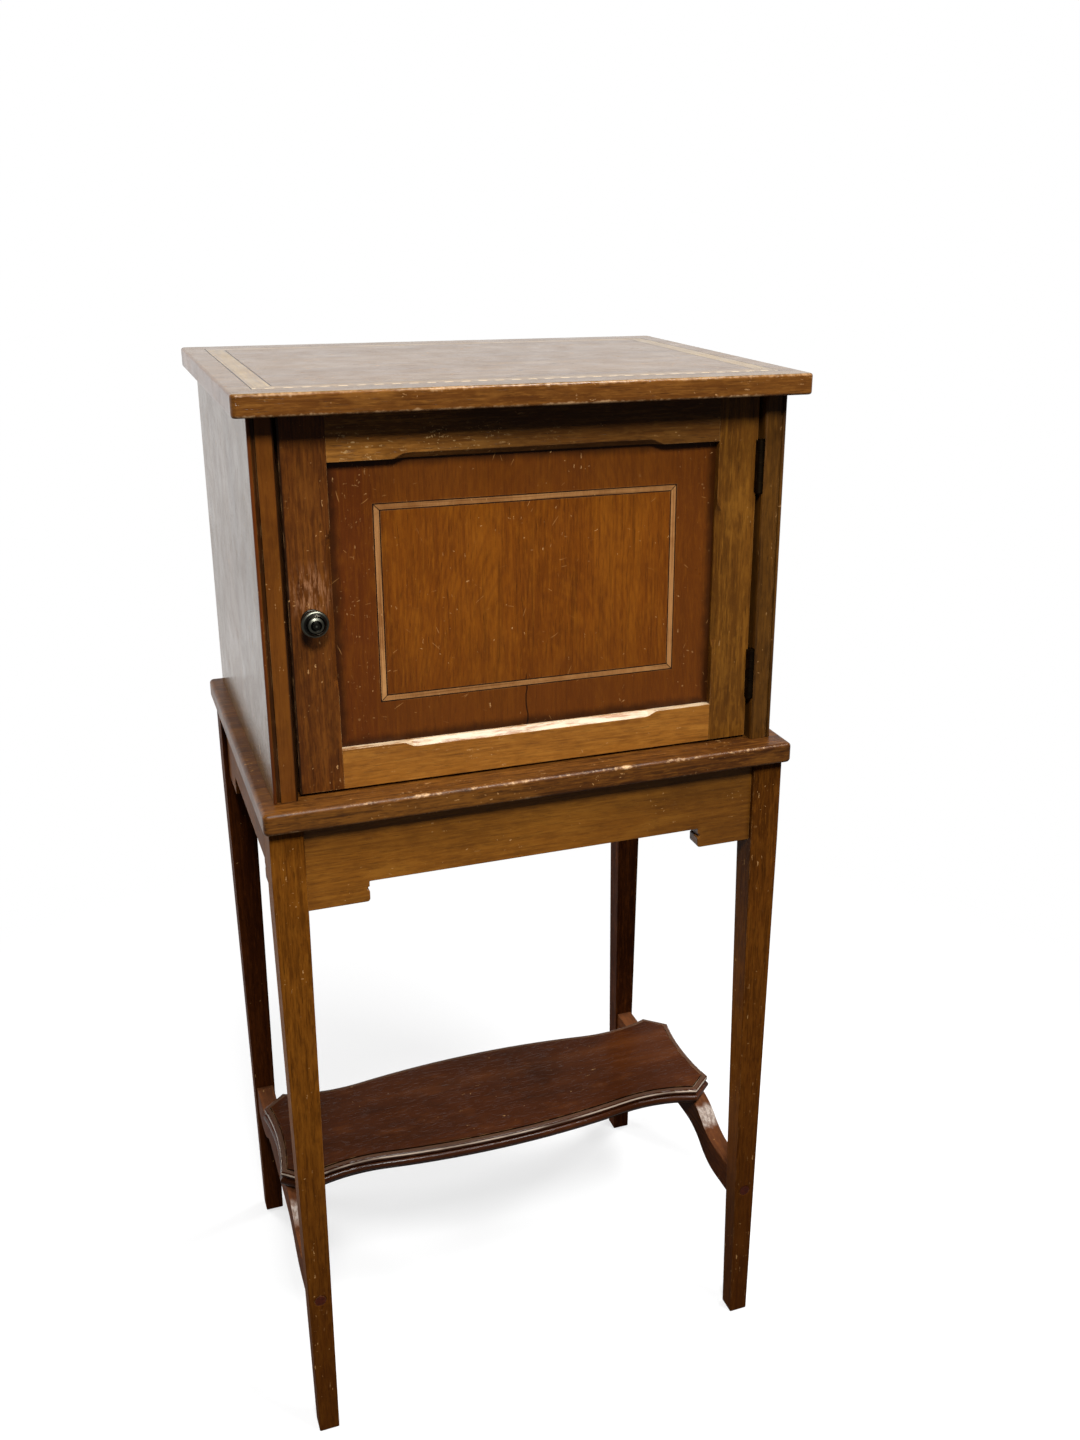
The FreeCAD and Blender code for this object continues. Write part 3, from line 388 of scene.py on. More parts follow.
RUBBED_PATCHES = (0.42, 0.60)
RUBBED_SHARE = 0.7
CHIPPED_SHARE = 0.6
GLOSS_SPREAD = (-0.07, 0.10)
WORN_ROUGHNESS = 0.2
UNDERSIDE_ROUGHNESS = 0.85
FINE_HEIGHT_SHARE = 0.25
PORE_DEPTH_SHARE = 0.4
WORN_DEPTH_SHARE = 0.5


def wood_colour(g, noises, tones, streaks):
    """Broad figure first, then the layers of stain and grain over it."""
    dark, middle, light = (tone(*parts) for parts in tones)
    stains = {"dark": dark, "light": light, "grime": GRIME_AND_SHADE}
    colour = g.mix(g.step(noises["figure"], *FIGURE_BASE), dark, middle)
    for layer in WOOD_LAYERS:
        share = layer.share * streaks if layer.draws_grain else layer.share
        shown = g.product(g.step(noises[layer.pattern], layer.start, layer.end), share)
        colour = g.mix(shown, colour, stains[layer.stain])
    return colour


def wood_roughness(g, noises, roughness, worn):
    """Uneven gloss, duller where worn and dull underneath, where nobody polishes."""
    lowest, highest = (roughness + spread for spread in GLOSS_SPREAD)
    dull = g.total(g.scaled(noises["sheen"], lowest, highest), g.product(worn, WORN_ROUGHNESS))
    underside = g.step(g.facing("Z"), *FACES_DOWN)
    return g.highest(dull, g.product(underside, UNDERSIDE_ROUGHNESS))


def wood_height(g, noises, worn, wave):
    """Fine grain and soft waves, less the pores and the worn places."""
    pores = g.step(noises["pores"], *PORE_HOLLOWS)
    height = g.difference(g.product(noises["fine"], FINE_HEIGHT_SHARE), g.product(pores, PORE_DEPTH_SHARE))
    height = g.difference(height, g.product(worn, WORN_DEPTH_SHARE))
    return g.total(height, g.product(noises["patches"], wave))


def wood(name, grain, tones, seed, specks=0.3, edge_wear=0.5, roughness=0.3, wave=0.3, streaks=1.0,
         ior=VARNISH_IOR, marks=()):
    """Varnished wood with its own marks, edge wear and pale specks."""
    g = Graph(bpy.data.materials.new(name))
    offset = seed_offset(seed)
    noises = {key: g.pattern(pattern, offset, grain) for key, pattern in WOOD_PATTERNS.items()}
    colour = wood_colour(g, noises, tones, streaks)
    for mark in marks:
        colour = mark(g, colour, offset)
    rubbed = g.product(g.edges(WORN_EDGE), g.step(noises["patches"], *RUBBED_PATCHES), edge_wear)
    chips = specks_and_scratches(g, grain, offset, specks)
    colour = g.mix(g.product(rubbed, RUBBED_SHARE), colour, RAW_WOOD)
    colour = g.mix(g.product(chips, CHIPPED_SHARE), colour, RAW_WOOD)
    worn = g.highest(rubbed, chips)
    dull = wood_roughness(g, noises, roughness, worn)
    return g.finish(colour, dull, wood_height(g, noises, worn, wave), WOOD_RELIEF, {"IOR": ior})


METAL_CLOUD = Pattern(160, 160, 3, 0.6)
METAL_GRIT = Pattern(1500, 1500, 2, 0.6)
CLOUD_STEP = (0.35, 0.65)
GRIT_STEP = (0.35, 0.60)
CLOUD_TONE_SHARE = 0.7
METAL_GLOSS_SPREAD = (-0.08, 0.15)


def metal(name, base, worn, seed, roughness, edge_wear, marks=()):
    """Patinated metal: uneven tone, brighter where hands and screwdrivers have rubbed it."""
    g = Graph(bpy.data.materials.new(name))
    offset = seed_offset(seed)
    cloud = g.pattern(METAL_CLOUD, offset)
    grit = g.pattern(METAL_GRIT, offset)
    clouded = tone(*[CLOUD_TONE_SHARE * part for part in base])
    colour = g.mix(g.step(cloud, *CLOUD_STEP), tone(*base), clouded)
    for mark in marks:
        colour = mark(g, colour, offset)
    rubbed = g.product(g.edges(METAL_WORN_EDGE), g.step(grit, *GRIT_STEP), edge_wear)
    colour = g.mix(rubbed, colour, tone(*worn))
    lowest, highest = (roughness + spread for spread in METAL_GLOSS_SPREAD)
    return g.finish(colour, g.scaled(cloud, lowest, highest), grit, METAL_RELIEF, {"Metallic": 1.0})


def put(material, *names):
    for name in names:
        nodes[name].data.materials.clear()
        nodes[name].data.materials.append(material)


def middle_of(node):
    low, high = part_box(node)
    return (low + high) / 2


# Marks that single pieces carry. Each takes the graph, the colour so far and the piece's offset.
def on_front(node, *marks):
    """The marks given, on the front half of a piece alone."""
    def mark(g, colour, offset):
        marked = colour
        for each in marks:
            marked = each(g, marked, offset)
        return g.mix(g.math("LESS_THAN", g.y, middle_of(node).y), colour, marked)
    return mark


ARCH_BEND = 26.0
ARCH_WAVES = Pattern(24, 10, 3, 0.6)
ARCH_ZONES = Mask(Pattern(16, 16, 2), 0.38, 0.62)
ARCH_CREST = (0.1, 1.0)
ARCH_SHARE = 0.28
ARCH_TONE = tone(86, 41, 9)


def panel_figure(g, colour, offset):
    """Faint nested arches, as in a board sawn through the side of a log."""
    across = g.difference(g.x, ARCH_MIDDLE_X)
    wander = g.product(g.pattern(ARCH_WAVES, offset, "Z"), ARCH_WANDER)
    level = g.total(g.z, wander, g.product(across, across, ARCH_BEND))
    rings = g.math("SINE", g.product(level, 2 * math.pi / ARCH_PITCH))
    shown = g.product(g.step(rings, *ARCH_CREST), g.mask(ARCH_ZONES, offset), ARCH_SHARE)
    return g.mix(shown, colour, ARCH_TONE)


def outside_inlay(g):
    """How far a place on the panel lies outside the inlaid frame. Inside the frame it is below zero."""
    low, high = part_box("door_inlay_lines")
    middle = (low + high) / 2
    half = (high - low) / 2
    beside = g.difference(g.away(g.x, middle.x), half.x)
    beyond = g.difference(g.away(g.z, middle.z), half.z)
    return g.highest(beside, beyond)


BORDER_SHARE = 0.5
BORDER_TONE = tone(88, 44, 11)
LEFT_BORDER_TONE = tone(76, 31, 8)
BORDER_FLECK_SEED = 31
BORDER_FLECK_AMOUNT = 1.6
BORDER_FLECK_SHARE = 0.3


def panel_border(g, colour, offset):
    """Darker outside the inlay, and reddest at the left, with pale flecks there."""
    from_left = g.difference(g.x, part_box("door_inlay_lines")[0].x)
    reddest = g.step(from_left, BORDER_RED_FADE, -BORDER_RED_FADE)
    border = g.mix(reddest, BORDER_TONE, LEFT_BORDER_TONE)
    colour = g.mix(g.product(g.step(outside_inlay(g), *BORDER_EDGE), BORDER_SHARE), colour, border)
    flecks = specks_and_scratches(g, "Z", seed_offset(BORDER_FLECK_SEED), BORDER_FLECK_AMOUNT)
    shown = g.product(flecks, g.step(from_left, *BORDER_FLECKS), BORDER_FLECK_SHARE)
    return g.mix(shown, colour, RAW_WOOD)


LOW_SHADE_SHARE = 0.35
LOW_SHADE_TONE = tone(82, 40, 9)
FRAME_DIRT_AND_SHADE_WAVES = Pattern(90, 90, 3)
FRAME_DIRT_AND_SHADE_SHARE = 0.7


def panel_shade_and_grime(g, colour, offset):
    """Painted shade low down, and grime with painted shade along the frame."""
    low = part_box("door_inlay_lines")[0]
    lower = g.step(g.z, middle_of("door_inlay_lines").z, low.z - LOW_SHADE_DROP)
    colour = g.mix(g.product(lower, LOW_SHADE_SHARE), colour, LOW_SHADE_TONE)
    uneven = g.product(g.pattern(FRAME_DIRT_AND_SHADE_WAVES, offset), FRAME_DIRT_AND_SHADE_RAGGED)
    # Grime and painted shade where the panel meets its frame
    grime = g.step(g.total(outside_inlay(g), uneven), *FRAME_DIRT_AND_SHADE)
    return g.mix(g.product(grime, FRAME_DIRT_AND_SHADE_SHARE), colour, GRIME_AND_SHADE)


CRACK_WAVES = Pattern(5, 70, 2)
CRACK_SHARE = 0.9


def panel_crack(g, colour, offset):
    """A thin crack that runs up from the bottom of the panel."""
    wander = g.product(g.pattern(CRACK_WAVES, offset, "Z"), CRACK_WANDER)
    line = g.near(g.total(g.x, wander), CRACK_X + CRACK_WANDER / 2, CRACK_HALF_WIDTH, CRACK_SOFT)
    crack = g.product(line, g.step(g.z, CRACK_TOP, CRACK_TOP - CRACK_TAPER))
    return g.mix(g.product(crack, CRACK_SHARE), colour, GRIME_AND_SHADE)


PANEL_SCRATCH_ANGLES = (-1.1, -0.6, -0.2, 0.3, 0.7, 1.2)
PANEL_SCRATCH_CELLS = (42, 900, 900)
PANEL_SCRATCH_SEED = 31
PANEL_SCRATCH_SHAKE = Shake(45, PANEL_SCRATCH_BEND)
PANEL_SCRATCHES = Flecks(0.016, 0.3)
PANEL_SCRATCH_ZONES = Mask(Pattern(22, 22, 3), 0.40, 0.58)
PANEL_SCRATCH_SHARE = 0.36
PANEL_SCRATCH_TONE = tone(190, 138, 80)


def panel_scratches(g, colour, offset):
    """Fine pale scratches that cross the panel in several directions."""
    found = []
    for seed, angle in enumerate(PANEL_SCRATCH_ANGLES, PANEL_SCRATCH_SEED):
        bent = g.shaken(PANEL_SCRATCH_SHAKE, seed_offset(seed))
        found.append(g.flecks(g.turned(bent, (0, angle, 0), PANEL_SCRATCH_CELLS), PANEL_SCRATCHES))
    shown = g.product(g.highest(*found), g.mask(PANEL_SCRATCH_ZONES, offset), PANEL_SCRATCH_SHARE)
    return g.mix(shown, colour, PANEL_SCRATCH_TONE)


RUBBED_UP_SHARE = 0.8
RUBBED_STREAKS = Mask(Pattern(700, 95, 4, 0.7), 0.46, 0.60)
HAND_RUBBED_SHARE = 0.42
HAND_RUBBED_TONE = tone(174, 124, 88)


def rubbed_by_hand(g, colour, offset):
    """Varnish rubbed thin in short streaks above the knob."""
    middle = middle_of("knob")
    up = g.product(g.difference(g.z, middle.z + RUBBED_RISE), RUBBED_UP_SHARE)
    spot = g.step(g.radius(g.difference(g.x, middle.x), up), *RUBBED_RADII)
    shown = g.product(spot, g.mask(RUBBED_STREAKS, offset, "Z"), HAND_RUBBED_SHARE)
    return g.mix(shown, colour, HAND_RUBBED_TONE)


RAIL_CHIP_SEED = 32
RAIL_CHIP_AMOUNT = 6.0
RAIL_CHIP_SHARE = 0.8
RAIL_CHIP_TONE = tone(206, 166, 110)


def chipped_end(g, colour, offset):
    """Many pale chips low on the left half of the top rail."""
    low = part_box("door_top_rail")[0]
    flecks = specks_and_scratches(g, "X", seed_offset(RAIL_CHIP_SEED), RAIL_CHIP_AMOUNT)
    left = g.step(g.difference(g.x, low.x), *CHIPPED_LENGTHS)
    lower = g.step(g.difference(g.z, low.z), *CHIPPED_HEIGHTS)
    return g.mix(g.product(flecks, left, lower, RAIL_CHIP_SHARE), colour, RAIL_CHIP_TONE)


SEAM_SHARE = 0.9


def gap_shade(node, side):
    """Painted shade along the front of the gap between the case and the door, on the side of the piece
    given.
    """
    def mark(g, colour, offset):
        low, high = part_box(node)
        edge = low.x if side == "left" else high.x
        near_gap = g.step(g.away(g.x, edge), *SEAM_WIDTHS)
        front = g.step(g.difference(g.y, low.y), *SEAM_DEPTHS)
        return g.mix(g.product(near_gap, front, SEAM_SHARE), colour, GRIME_AND_SHADE)
    return mark


SIDE_BEAD_SHARE = 0.6
SIDE_BEAD_TONE = tone(86, 36, 12)
SIDE_QUIRK_SHARE = 0.7


def side_moulding(g, colour, offset):
    """Red-brown bead, and painted shade in the quirk along the front of the side board."""
    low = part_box("left_side_board")[0]
    front = g.step(g.difference(g.y, low.y), *SIDE_MOULDING_DEPTHS)
    from_edge = g.difference(g.x, low.x)
    bead = g.step(from_edge, SIDE_BEAD_WIDTH, SIDE_BEAD_WIDTH / 2)
    quirk_middle = SIDE_BEAD_WIDTH + SIDE_QUIRK_WIDTH / 2
    quirk = g.near(from_edge, quirk_middle, SIDE_QUIRK_WIDTH / 2, SIDE_QUIRK_SOFT)
    colour = g.mix(g.product(front, bead, SIDE_BEAD_SHARE), colour, SIDE_BEAD_TONE)
    # Painted shade in the quirk
    return g.mix(g.product(front, quirk, SIDE_QUIRK_SHARE), colour, GRIME_AND_SHADE)


SHEEN_STREAKS = Mask(Pattern(190, 5, 4, 0.7), 0.34, 0.66)
TOP_SHEEN_SHARE = 0.8
TOP_SHEEN_TONES = (tone(82, 57, 28), tone(118, 91, 54))
SIDE_SHEEN_SHARE = 0.7
SIDE_SHEEN_TONES = (tone(70, 50, 22), tone(104, 81, 45))
NICK_SHAKE = Shake(300, NICK_RAGGED)
NICK_TURN = (0, 0, 0.5)
NICK_CELLS = (60, 150, 150)
NICKS = Flecks(0.12, 0.22)
NICK_SHARE = 0.8


def top_sheen_and_nicks(g, colour, offset):
    """Faces that look up carry a painted sheen, a paler brown in streaks, with a few dark nicks."""
    level = g.step(g.facing("Z"), *FACES_UP)
    sheen_colour = g.mix(g.mask(SHEEN_STREAKS, offset, "X"), *TOP_SHEEN_TONES)
    # Painted sheen on faces that look up
    colour = g.mix(g.product(level, TOP_SHEEN_SHARE), colour, sheen_colour)
    nicks = g.flecks(g.turned(g.shaken(NICK_SHAKE, offset), NICK_TURN, NICK_CELLS), NICKS)
    return g.mix(g.product(nicks, level, NICK_SHARE), colour, GRIME_AND_SHADE)


def side_sheen(g, colour, offset):
    """The outer face of the left side carries a painted sheen, a paler olive brown in streaks."""
    outer = g.step(g.facing("X"), *FACES_LEFT)
    sheen_colour = g.mix(g.mask(SHEEN_STREAKS, offset, "Z"), *SIDE_SHEEN_TONES)
    # Painted sheen on the outer face
    return g.mix(g.product(outer, SIDE_SHEEN_SHARE), colour, sheen_colour)


ARRIS_ALONG = Pattern(34, 34, 4, 0.65)
ARRIS_ROUGH = Pattern(260, 260, 3, 0.65)
ARRIS_TONE = tone(208, 168, 122)


def arris_wear(node, upper_share, lower_share):
    """Thin broken wear along the upper and lower front arrises of a board."""
    def mark(g, colour, offset):
        low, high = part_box(node)
        ragged = g.product(g.pattern(ARRIS_ROUGH, offset), ARRIS_RAGGED)
        along = g.scaled(g.pattern(ARRIS_ALONG, offset), ARRIS_LEAST_REACH, ARRIS_MOST_REACH)
        reach = g.total(along, ragged)
        from_front = g.difference(g.y, low.y)
        for edge, share in ((high.z, upper_share), (low.z, lower_share)):
            from_arris = g.total(from_front, g.away(g.z, edge))
            worn = g.step(g.difference(from_arris, reach), ARRIS_SOFT, -ARRIS_SOFT)
            colour = g.mix(g.product(worn, share), colour, ARRIS_TONE)
        return colour
    return mark


DASH_MIDDLE_SHARE = 0.5
DASH_HALF_SHARE = 0.225
DASH_END_SHARE = 0.06
DASH_MIX_SHARE = 0.85
DASH_TONE = tone(206, 180, 138)


def inlay_dashes(g, colour, offset):
    """A row of pale dashes along the front strip of the banding."""
    row = g.near(g.y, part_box("top_board")[0].y + DASH_INSET, DASH_HALF_WIDTH, DASH_SOFT)
    turn = g.math("FRACT", g.math("DIVIDE", g.difference(g.x, DASH_ROW_START), DASH_PITCH))
    dash = g.near(turn, DASH_MIDDLE_SHARE, DASH_HALF_SHARE, DASH_END_SHARE)
    return g.mix(g.product(row, dash, DASH_MIX_SHARE), colour, DASH_TONE)


STRIP_STAINS = Mask(Pattern(45, 45, 3, 0.6), 0.50, 0.68)
STRIP_STAIN_SHARE = 0.6
STRIP_STAIN_TONE = tone(128, 78, 36)


def stained_strip(g, colour, offset):
    """Pale strip gone brown in patches."""
    return g.mix(g.product(g.mask(STRIP_STAINS, offset), STRIP_STAIN_SHARE), colour, STRIP_STAIN_TONE)


STRIP_LINES = Pattern(900, 9, 3, 0.6)
STRIP_LINE_STEP = (0.50, 0.64)
STRIP_LINE_SHARE = 0.6
STRIP_LINE_TONE = tone(86, 48, 20)
LEVEL_STRIP_SHARE = 0.3
LEVEL_STRIP_TONE = tone(112, 72, 34)
MITRE_SHARE = 0.8


def mitres(node, up_axis):
    """Lines along the strips of a framed band, dark joints where they meet, and darker level strips."""
    def mark(g, colour, offset):
        low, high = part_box(node)
        middle = (low + high) / 2
        half = (high - low) / 2
        index = AXES[up_axis]
        up = (g.x, g.y, g.z)[index]
        from_side = g.difference(half.x, g.away(g.x, middle.x))
        from_end = g.difference(half[index], g.away(up, middle[index]))
        turn = g.difference(from_side, from_end)
        level = g.step(turn, 0, STRIP_CHANGE)
        level_lines = g.product(level, g.pattern(STRIP_LINES, offset, "X"))
        upright_lines = g.product(g.difference(1.0, level), g.pattern(STRIP_LINES, offset, up_axis))
        lines = g.step(g.highest(level_lines, upright_lines), *STRIP_LINE_STEP)
        colour = g.mix(g.product(level, LEVEL_STRIP_SHARE), colour, LEVEL_STRIP_TONE)
        colour = g.mix(g.product(lines, STRIP_LINE_SHARE), colour, STRIP_LINE_TONE)
        joint = g.near(turn, 0, MITRE_HALF_WIDTH, MITRE_SOFT)
        return g.mix(g.product(joint, MITRE_SHARE), colour, GRIME_AND_SHADE)
    return mark


# Rings on the knob's face, painted: shade in the sunk rings and highlights on the rim, between the rings
# and in the middle. Their middles and half width as shares of its radius, and their strength
Ring = namedtuple("Ring", "middle_shares half_width_share mix_share tone")
PAINTED_KNOB_RINGS = (
    # Painted shade in the sunk rings
    Ring((0.32, 0.62), 0.07, 0.85, tone(14, 14, 12)),
    # Painted highlights on the rim, between the rings and in the middle
    Ring((0.0, 0.48, 0.92), 0.05, 0.6, tone(128, 128, 114)),
)
KNOB_RING_SOFT_SHARE = 0.06


def painted_knob_rings(g, colour, offset):
    """Turned rings on the knob's face: a bright rim and middle as painted highlights, dark sunk rings as
    painted shade.
    """
    low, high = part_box("knob")
    middle = (low + high) / 2
    away = g.radius(g.difference(g.x, middle.x), g.difference(g.z, middle.z))
    radius_share = g.math("DIVIDE", away, (high.x - low.x) / 2)
    for ring in PAINTED_KNOB_RINGS:
        for middle_share in ring.middle_shares:
            line = g.near(radius_share, middle_share, ring.half_width_share, KNOB_RING_SOFT_SHARE)
            colour = g.mix(g.product(line, ring.mix_share), colour, ring.tone)
    return colour


CHAMFER_PATCHES = Mask(Pattern(260, 40, 4, 0.7), 0.34, 0.56)
CHAMFER_SHARE = 0.7
CHAMFER_TONE = tone(210, 190, 158)


def chamfer_wear_and_highlight(g, colour, offset):
    """Varnish worn through, and a painted highlight, in patches on faces that look up."""
    upward = g.step(g.facing("Z"), *SLOPES_UP)
    # Pale patches: worn varnish and a painted highlight
    worn = g.product(upward, g.mask(CHAMFER_PATCHES, offset, "X"), CHAMFER_SHARE)
    return g.mix(worn, colour, CHAMFER_TONE)


SHADE_WAVES = Pattern(20, 60, 3, 0.6)
SHADE_UNEVEN_SHARE = 0.4
SHADE_TONE = tone(44, 22, 6)


def painted_shade_to_right(start, end, share):
    """Painted shade on a piece, darker toward the right."""
    def mark(g, colour, offset):
        uneven = g.product(g.pattern(SHADE_WAVES, offset, "Z"), SHADE_UNEVEN_SHARE * (end - start))
        shade = g.step(g.total(g.x, uneven), start, end)
        return g.mix(g.product(shade, share), colour, SHADE_TONE)
    return mark


LEG_SHADE_WAVES = Pattern(40, 12, 3, 0.6)
LEG_SHADE_SHARE = 0.6
LEG_SHADE_TONE = tone(60, 26, 7)


def painted_shade_low(g, colour, offset):
    """Painted shade, darker and redder toward the floor, in an uneven way."""
    uneven = g.product(g.pattern(LEG_SHADE_WAVES, offset, "Z"), LEG_SHADE_UNEVEN)
    # Painted shade toward the floor
    stain = g.step(g.total(g.z, uneven), *LEG_SHADE_HEIGHTS)
    return g.mix(g.product(stain, LEG_SHADE_SHARE), colour, LEG_SHADE_TONE)


LIT_STRETCHER_SHARE = 0.16
LIT_STRETCHER_TONE = tone(150, 100, 70)
STRETCHER_HIGHLIGHT_WAVES = Pattern(120, 120, 4, 0.7)
STRETCHER_HIGHLIGHT_BREAKS = Mask(Pattern(420, 90, 3, 0.7), 0.40, 0.62)
STRETCHER_HIGHLIGHT_BREAK_SHARES = (0.4, 1.0)
STRETCHER_HIGHLIGHT_SHARE = 0.75
STRETCHER_HIGHLIGHT_TONE = tone(206, 194, 182)


def stretcher_highlights(g, colour, offset):
    """Painted light where the stretcher looks up, and a painted highlight on the slope just outside the
    shelf.
    """
    level = g.step(g.facing("Z"), *FACES_UP)
    # Painted light on faces that look up
    colour = g.mix(g.product(level, LIT_STRETCHER_SHARE), colour, LIT_STRETCHER_TONE)
    out = g.away(g.y, middle_of("left_stretcher").y)
    ragged = g.total(out, g.product(g.pattern(STRETCHER_HIGHLIGHT_WAVES, offset), STRETCHER_HIGHLIGHT_RAGGED))
    patch = g.near(ragged, STRETCHER_HIGHLIGHT_MIDDLE, STRETCHER_HIGHLIGHT_HALF_LENGTH, STRETCHER_HIGHLIGHT_SOFT)
    broken = g.scaled(g.mask(STRETCHER_HIGHLIGHT_BREAKS, offset, "Y"), *STRETCHER_HIGHLIGHT_BREAK_SHARES)
    # Painted highlight just outside the shelf
    return g.mix(g.product(level, patch, broken, STRETCHER_HIGHLIGHT_SHARE), colour, STRETCHER_HIGHLIGHT_TONE)


# How the parts of the shelf's edge face: the start and the full end of the range
QUIRK_FACES = (0.4, 0.2)
BEAD_TOP_FACES = (0.8, 0.95)
BEAD_HIGHLIGHT_FACES = (0.95, 0.7)
SHELF_QUIRK_SHARE = 0.9
BEAD_TOP_SHARE = 0.5
BEAD_TOP_TONE = tone(88, 68, 54)
BEAD_HIGHLIGHT_ZONES = Mask(Pattern(16, 16, 3, 0.6), 0.38, 0.58)
BEAD_HIGHLIGHT_SHARES = (0.2, 0.85)
BEAD_HIGHLIGHT_TONE = tone(224, 204, 182)


def moulded_edge(g, colour, offset):
    """Painted shade in the shelf's quirk, a greyish top on its bead and a painted highlight along the
    bead's front.
    """
    drop = g.difference(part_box("shelf")[1].z, g.z)
    upward = g.facing("Z")
    # Painted shade in the quirk
    hollow = g.near(drop, SHELF_QUIRK_DROP, SHELF_QUIRK_HALF_HEIGHT, SHELF_QUIRK_SOFT)
    colour = g.mix(g.product(hollow, g.step(upward, *QUIRK_FACES), SHELF_QUIRK_SHARE), colour, GRIME_AND_SHADE)
    flat = g.near(drop, BEAD_TOP_DROP, BEAD_TOP_HALF_HEIGHT, BEAD_TOP_SOFT)
    colour = g.mix(g.product(flat, g.step(upward, *BEAD_TOP_FACES), BEAD_TOP_SHARE), colour, BEAD_TOP_TONE)
    # Painted highlight along the bead's front
    line = g.near(drop, BEAD_HIGHLIGHT_DROP, BEAD_HIGHLIGHT_HALF_HEIGHT, BEAD_HIGHLIGHT_SOFT)
    shown = g.scaled(g.mask(BEAD_HIGHLIGHT_ZONES, offset), *BEAD_HIGHLIGHT_SHARES)
    return g.mix(g.product(line, g.step(upward, *BEAD_HIGHLIGHT_FACES), shown), colour, BEAD_HIGHLIGHT_TONE)


# Tones of each wood: dark, middle and light
TOP_TONES = ((74, 40, 13), (106, 64, 23), (130, 85, 35))
LEFT_SIDE_TONES = ((66, 33, 8), (94, 50, 13), (118, 70, 20))
RIGHT_SIDE_TONES = ((58, 34, 9), (82, 50, 14), (98, 62, 19))
MID_BOARD_TONES = ((46, 22, 6), (82, 45, 13), (120, 75, 26))
INNER_TONES = ((84, 52, 24), (116, 76, 38), (138, 96, 52))
PANEL_TONES = ((90, 44, 7), (113, 59, 9), (133, 76, 15))
LEFT_STILE_TONES = ((64, 31, 8), (91, 48, 13), (113, 65, 20))
RIGHT_STILE_TONES = ((80, 46, 11), (107, 65, 17), (127, 82, 25))
TOP_RAIL_TONES = ((98, 58, 18), (138, 87, 32), (166, 113, 50))
BOTTOM_RAIL_TONES = ((106, 61, 17), (142, 88, 28), (168, 112, 43))
LEFT_LEG_TONES = ((78, 42, 9), (108, 61, 14), (130, 79, 22))
HALF_SHADED_TONES = ((62, 32, 7), (88, 47, 11), (110, 64, 17))
SHADED_TONES = ((48, 20, 5), (68, 31, 8), (86, 43, 13))
APRON_TONES = ((92, 52, 12), (126, 76, 20), (148, 96, 31))
PLUG_TONES = ((48, 16, 6), (70, 24, 9), (88, 34, 13))
SHELF_TONES = ((40, 17, 5), (60, 27, 8), (84, 44, 17))
STRETCHER_TONES = ((54, 25, 9), (78, 39, 14), (98, 54, 21))
TOP_BAND_TONES = ((108, 82, 34), (136, 106, 50), (158, 126, 66))
DOOR_BAND_TONES = ((124, 82, 44), (166, 116, 68), (188, 140, 88))
LINE_TONES = ((22, 12, 6), (34, 19, 10), (52, 30, 15))

# Tones of each metal: plain and rubbed
BRONZE_TONES = ((58, 56, 50), (150, 140, 120))
BRASS_TONES = ((42, 31, 19), (104, 80, 48))
STEEL_TONES = ((112, 108, 102), (170, 166, 160))


def case_finishes():
    top_marks = (top_sheen_and_nicks, arris_wear("top_board", upper_share=0.45, lower_share=0.6))
    top = wood("top_wood", "X", TOP_TONES, seed=1, specks=0.9, roughness=0.19, wave=0.05, streaks=0.8,
               marks=top_marks)
    put(top, "top_board")

    side_marks = (side_sheen, side_moulding, gap_shade("left_side_board", "right"))
    left = wood("left_side_wood", "Z", LEFT_SIDE_TONES, seed=2, specks=0.5, roughness=0.19, wave=0.04,
                streaks=0.35, marks=side_marks)
    put(left, "left_side_board")
    right = wood("right_side_wood", "Z", RIGHT_SIDE_TONES, seed=3, specks=0.6, edge_wear=0.4)
    put(right, "right_side_board")

    board_marks = (arris_wear("mid_board", upper_share=1.0, lower_share=0.35),)
    board = wood("mid_wood", "X", MID_BOARD_TONES, seed=4, specks=1.2, edge_wear=0.15, roughness=0.36,
                 marks=board_marks)
    put(board, "mid_board")

    back = wood("back_wood", "Z", INNER_TONES, seed=5, specks=0.2, edge_wear=0.3, roughness=0.6)
    put(back, "back_board")
    inner = wood("inner_wood", "X", INNER_TONES, seed=6, specks=0.1, edge_wear=0.3, roughness=0.6)
    put(inner, "top_front_rail", "top_back_rail", "corner_blocks")
    stop = wood("stop_wood", "Z", INNER_TONES, seed=7, specks=0.1, edge_wear=0.3, roughness=0.6)
    put(stop, "door_stop")


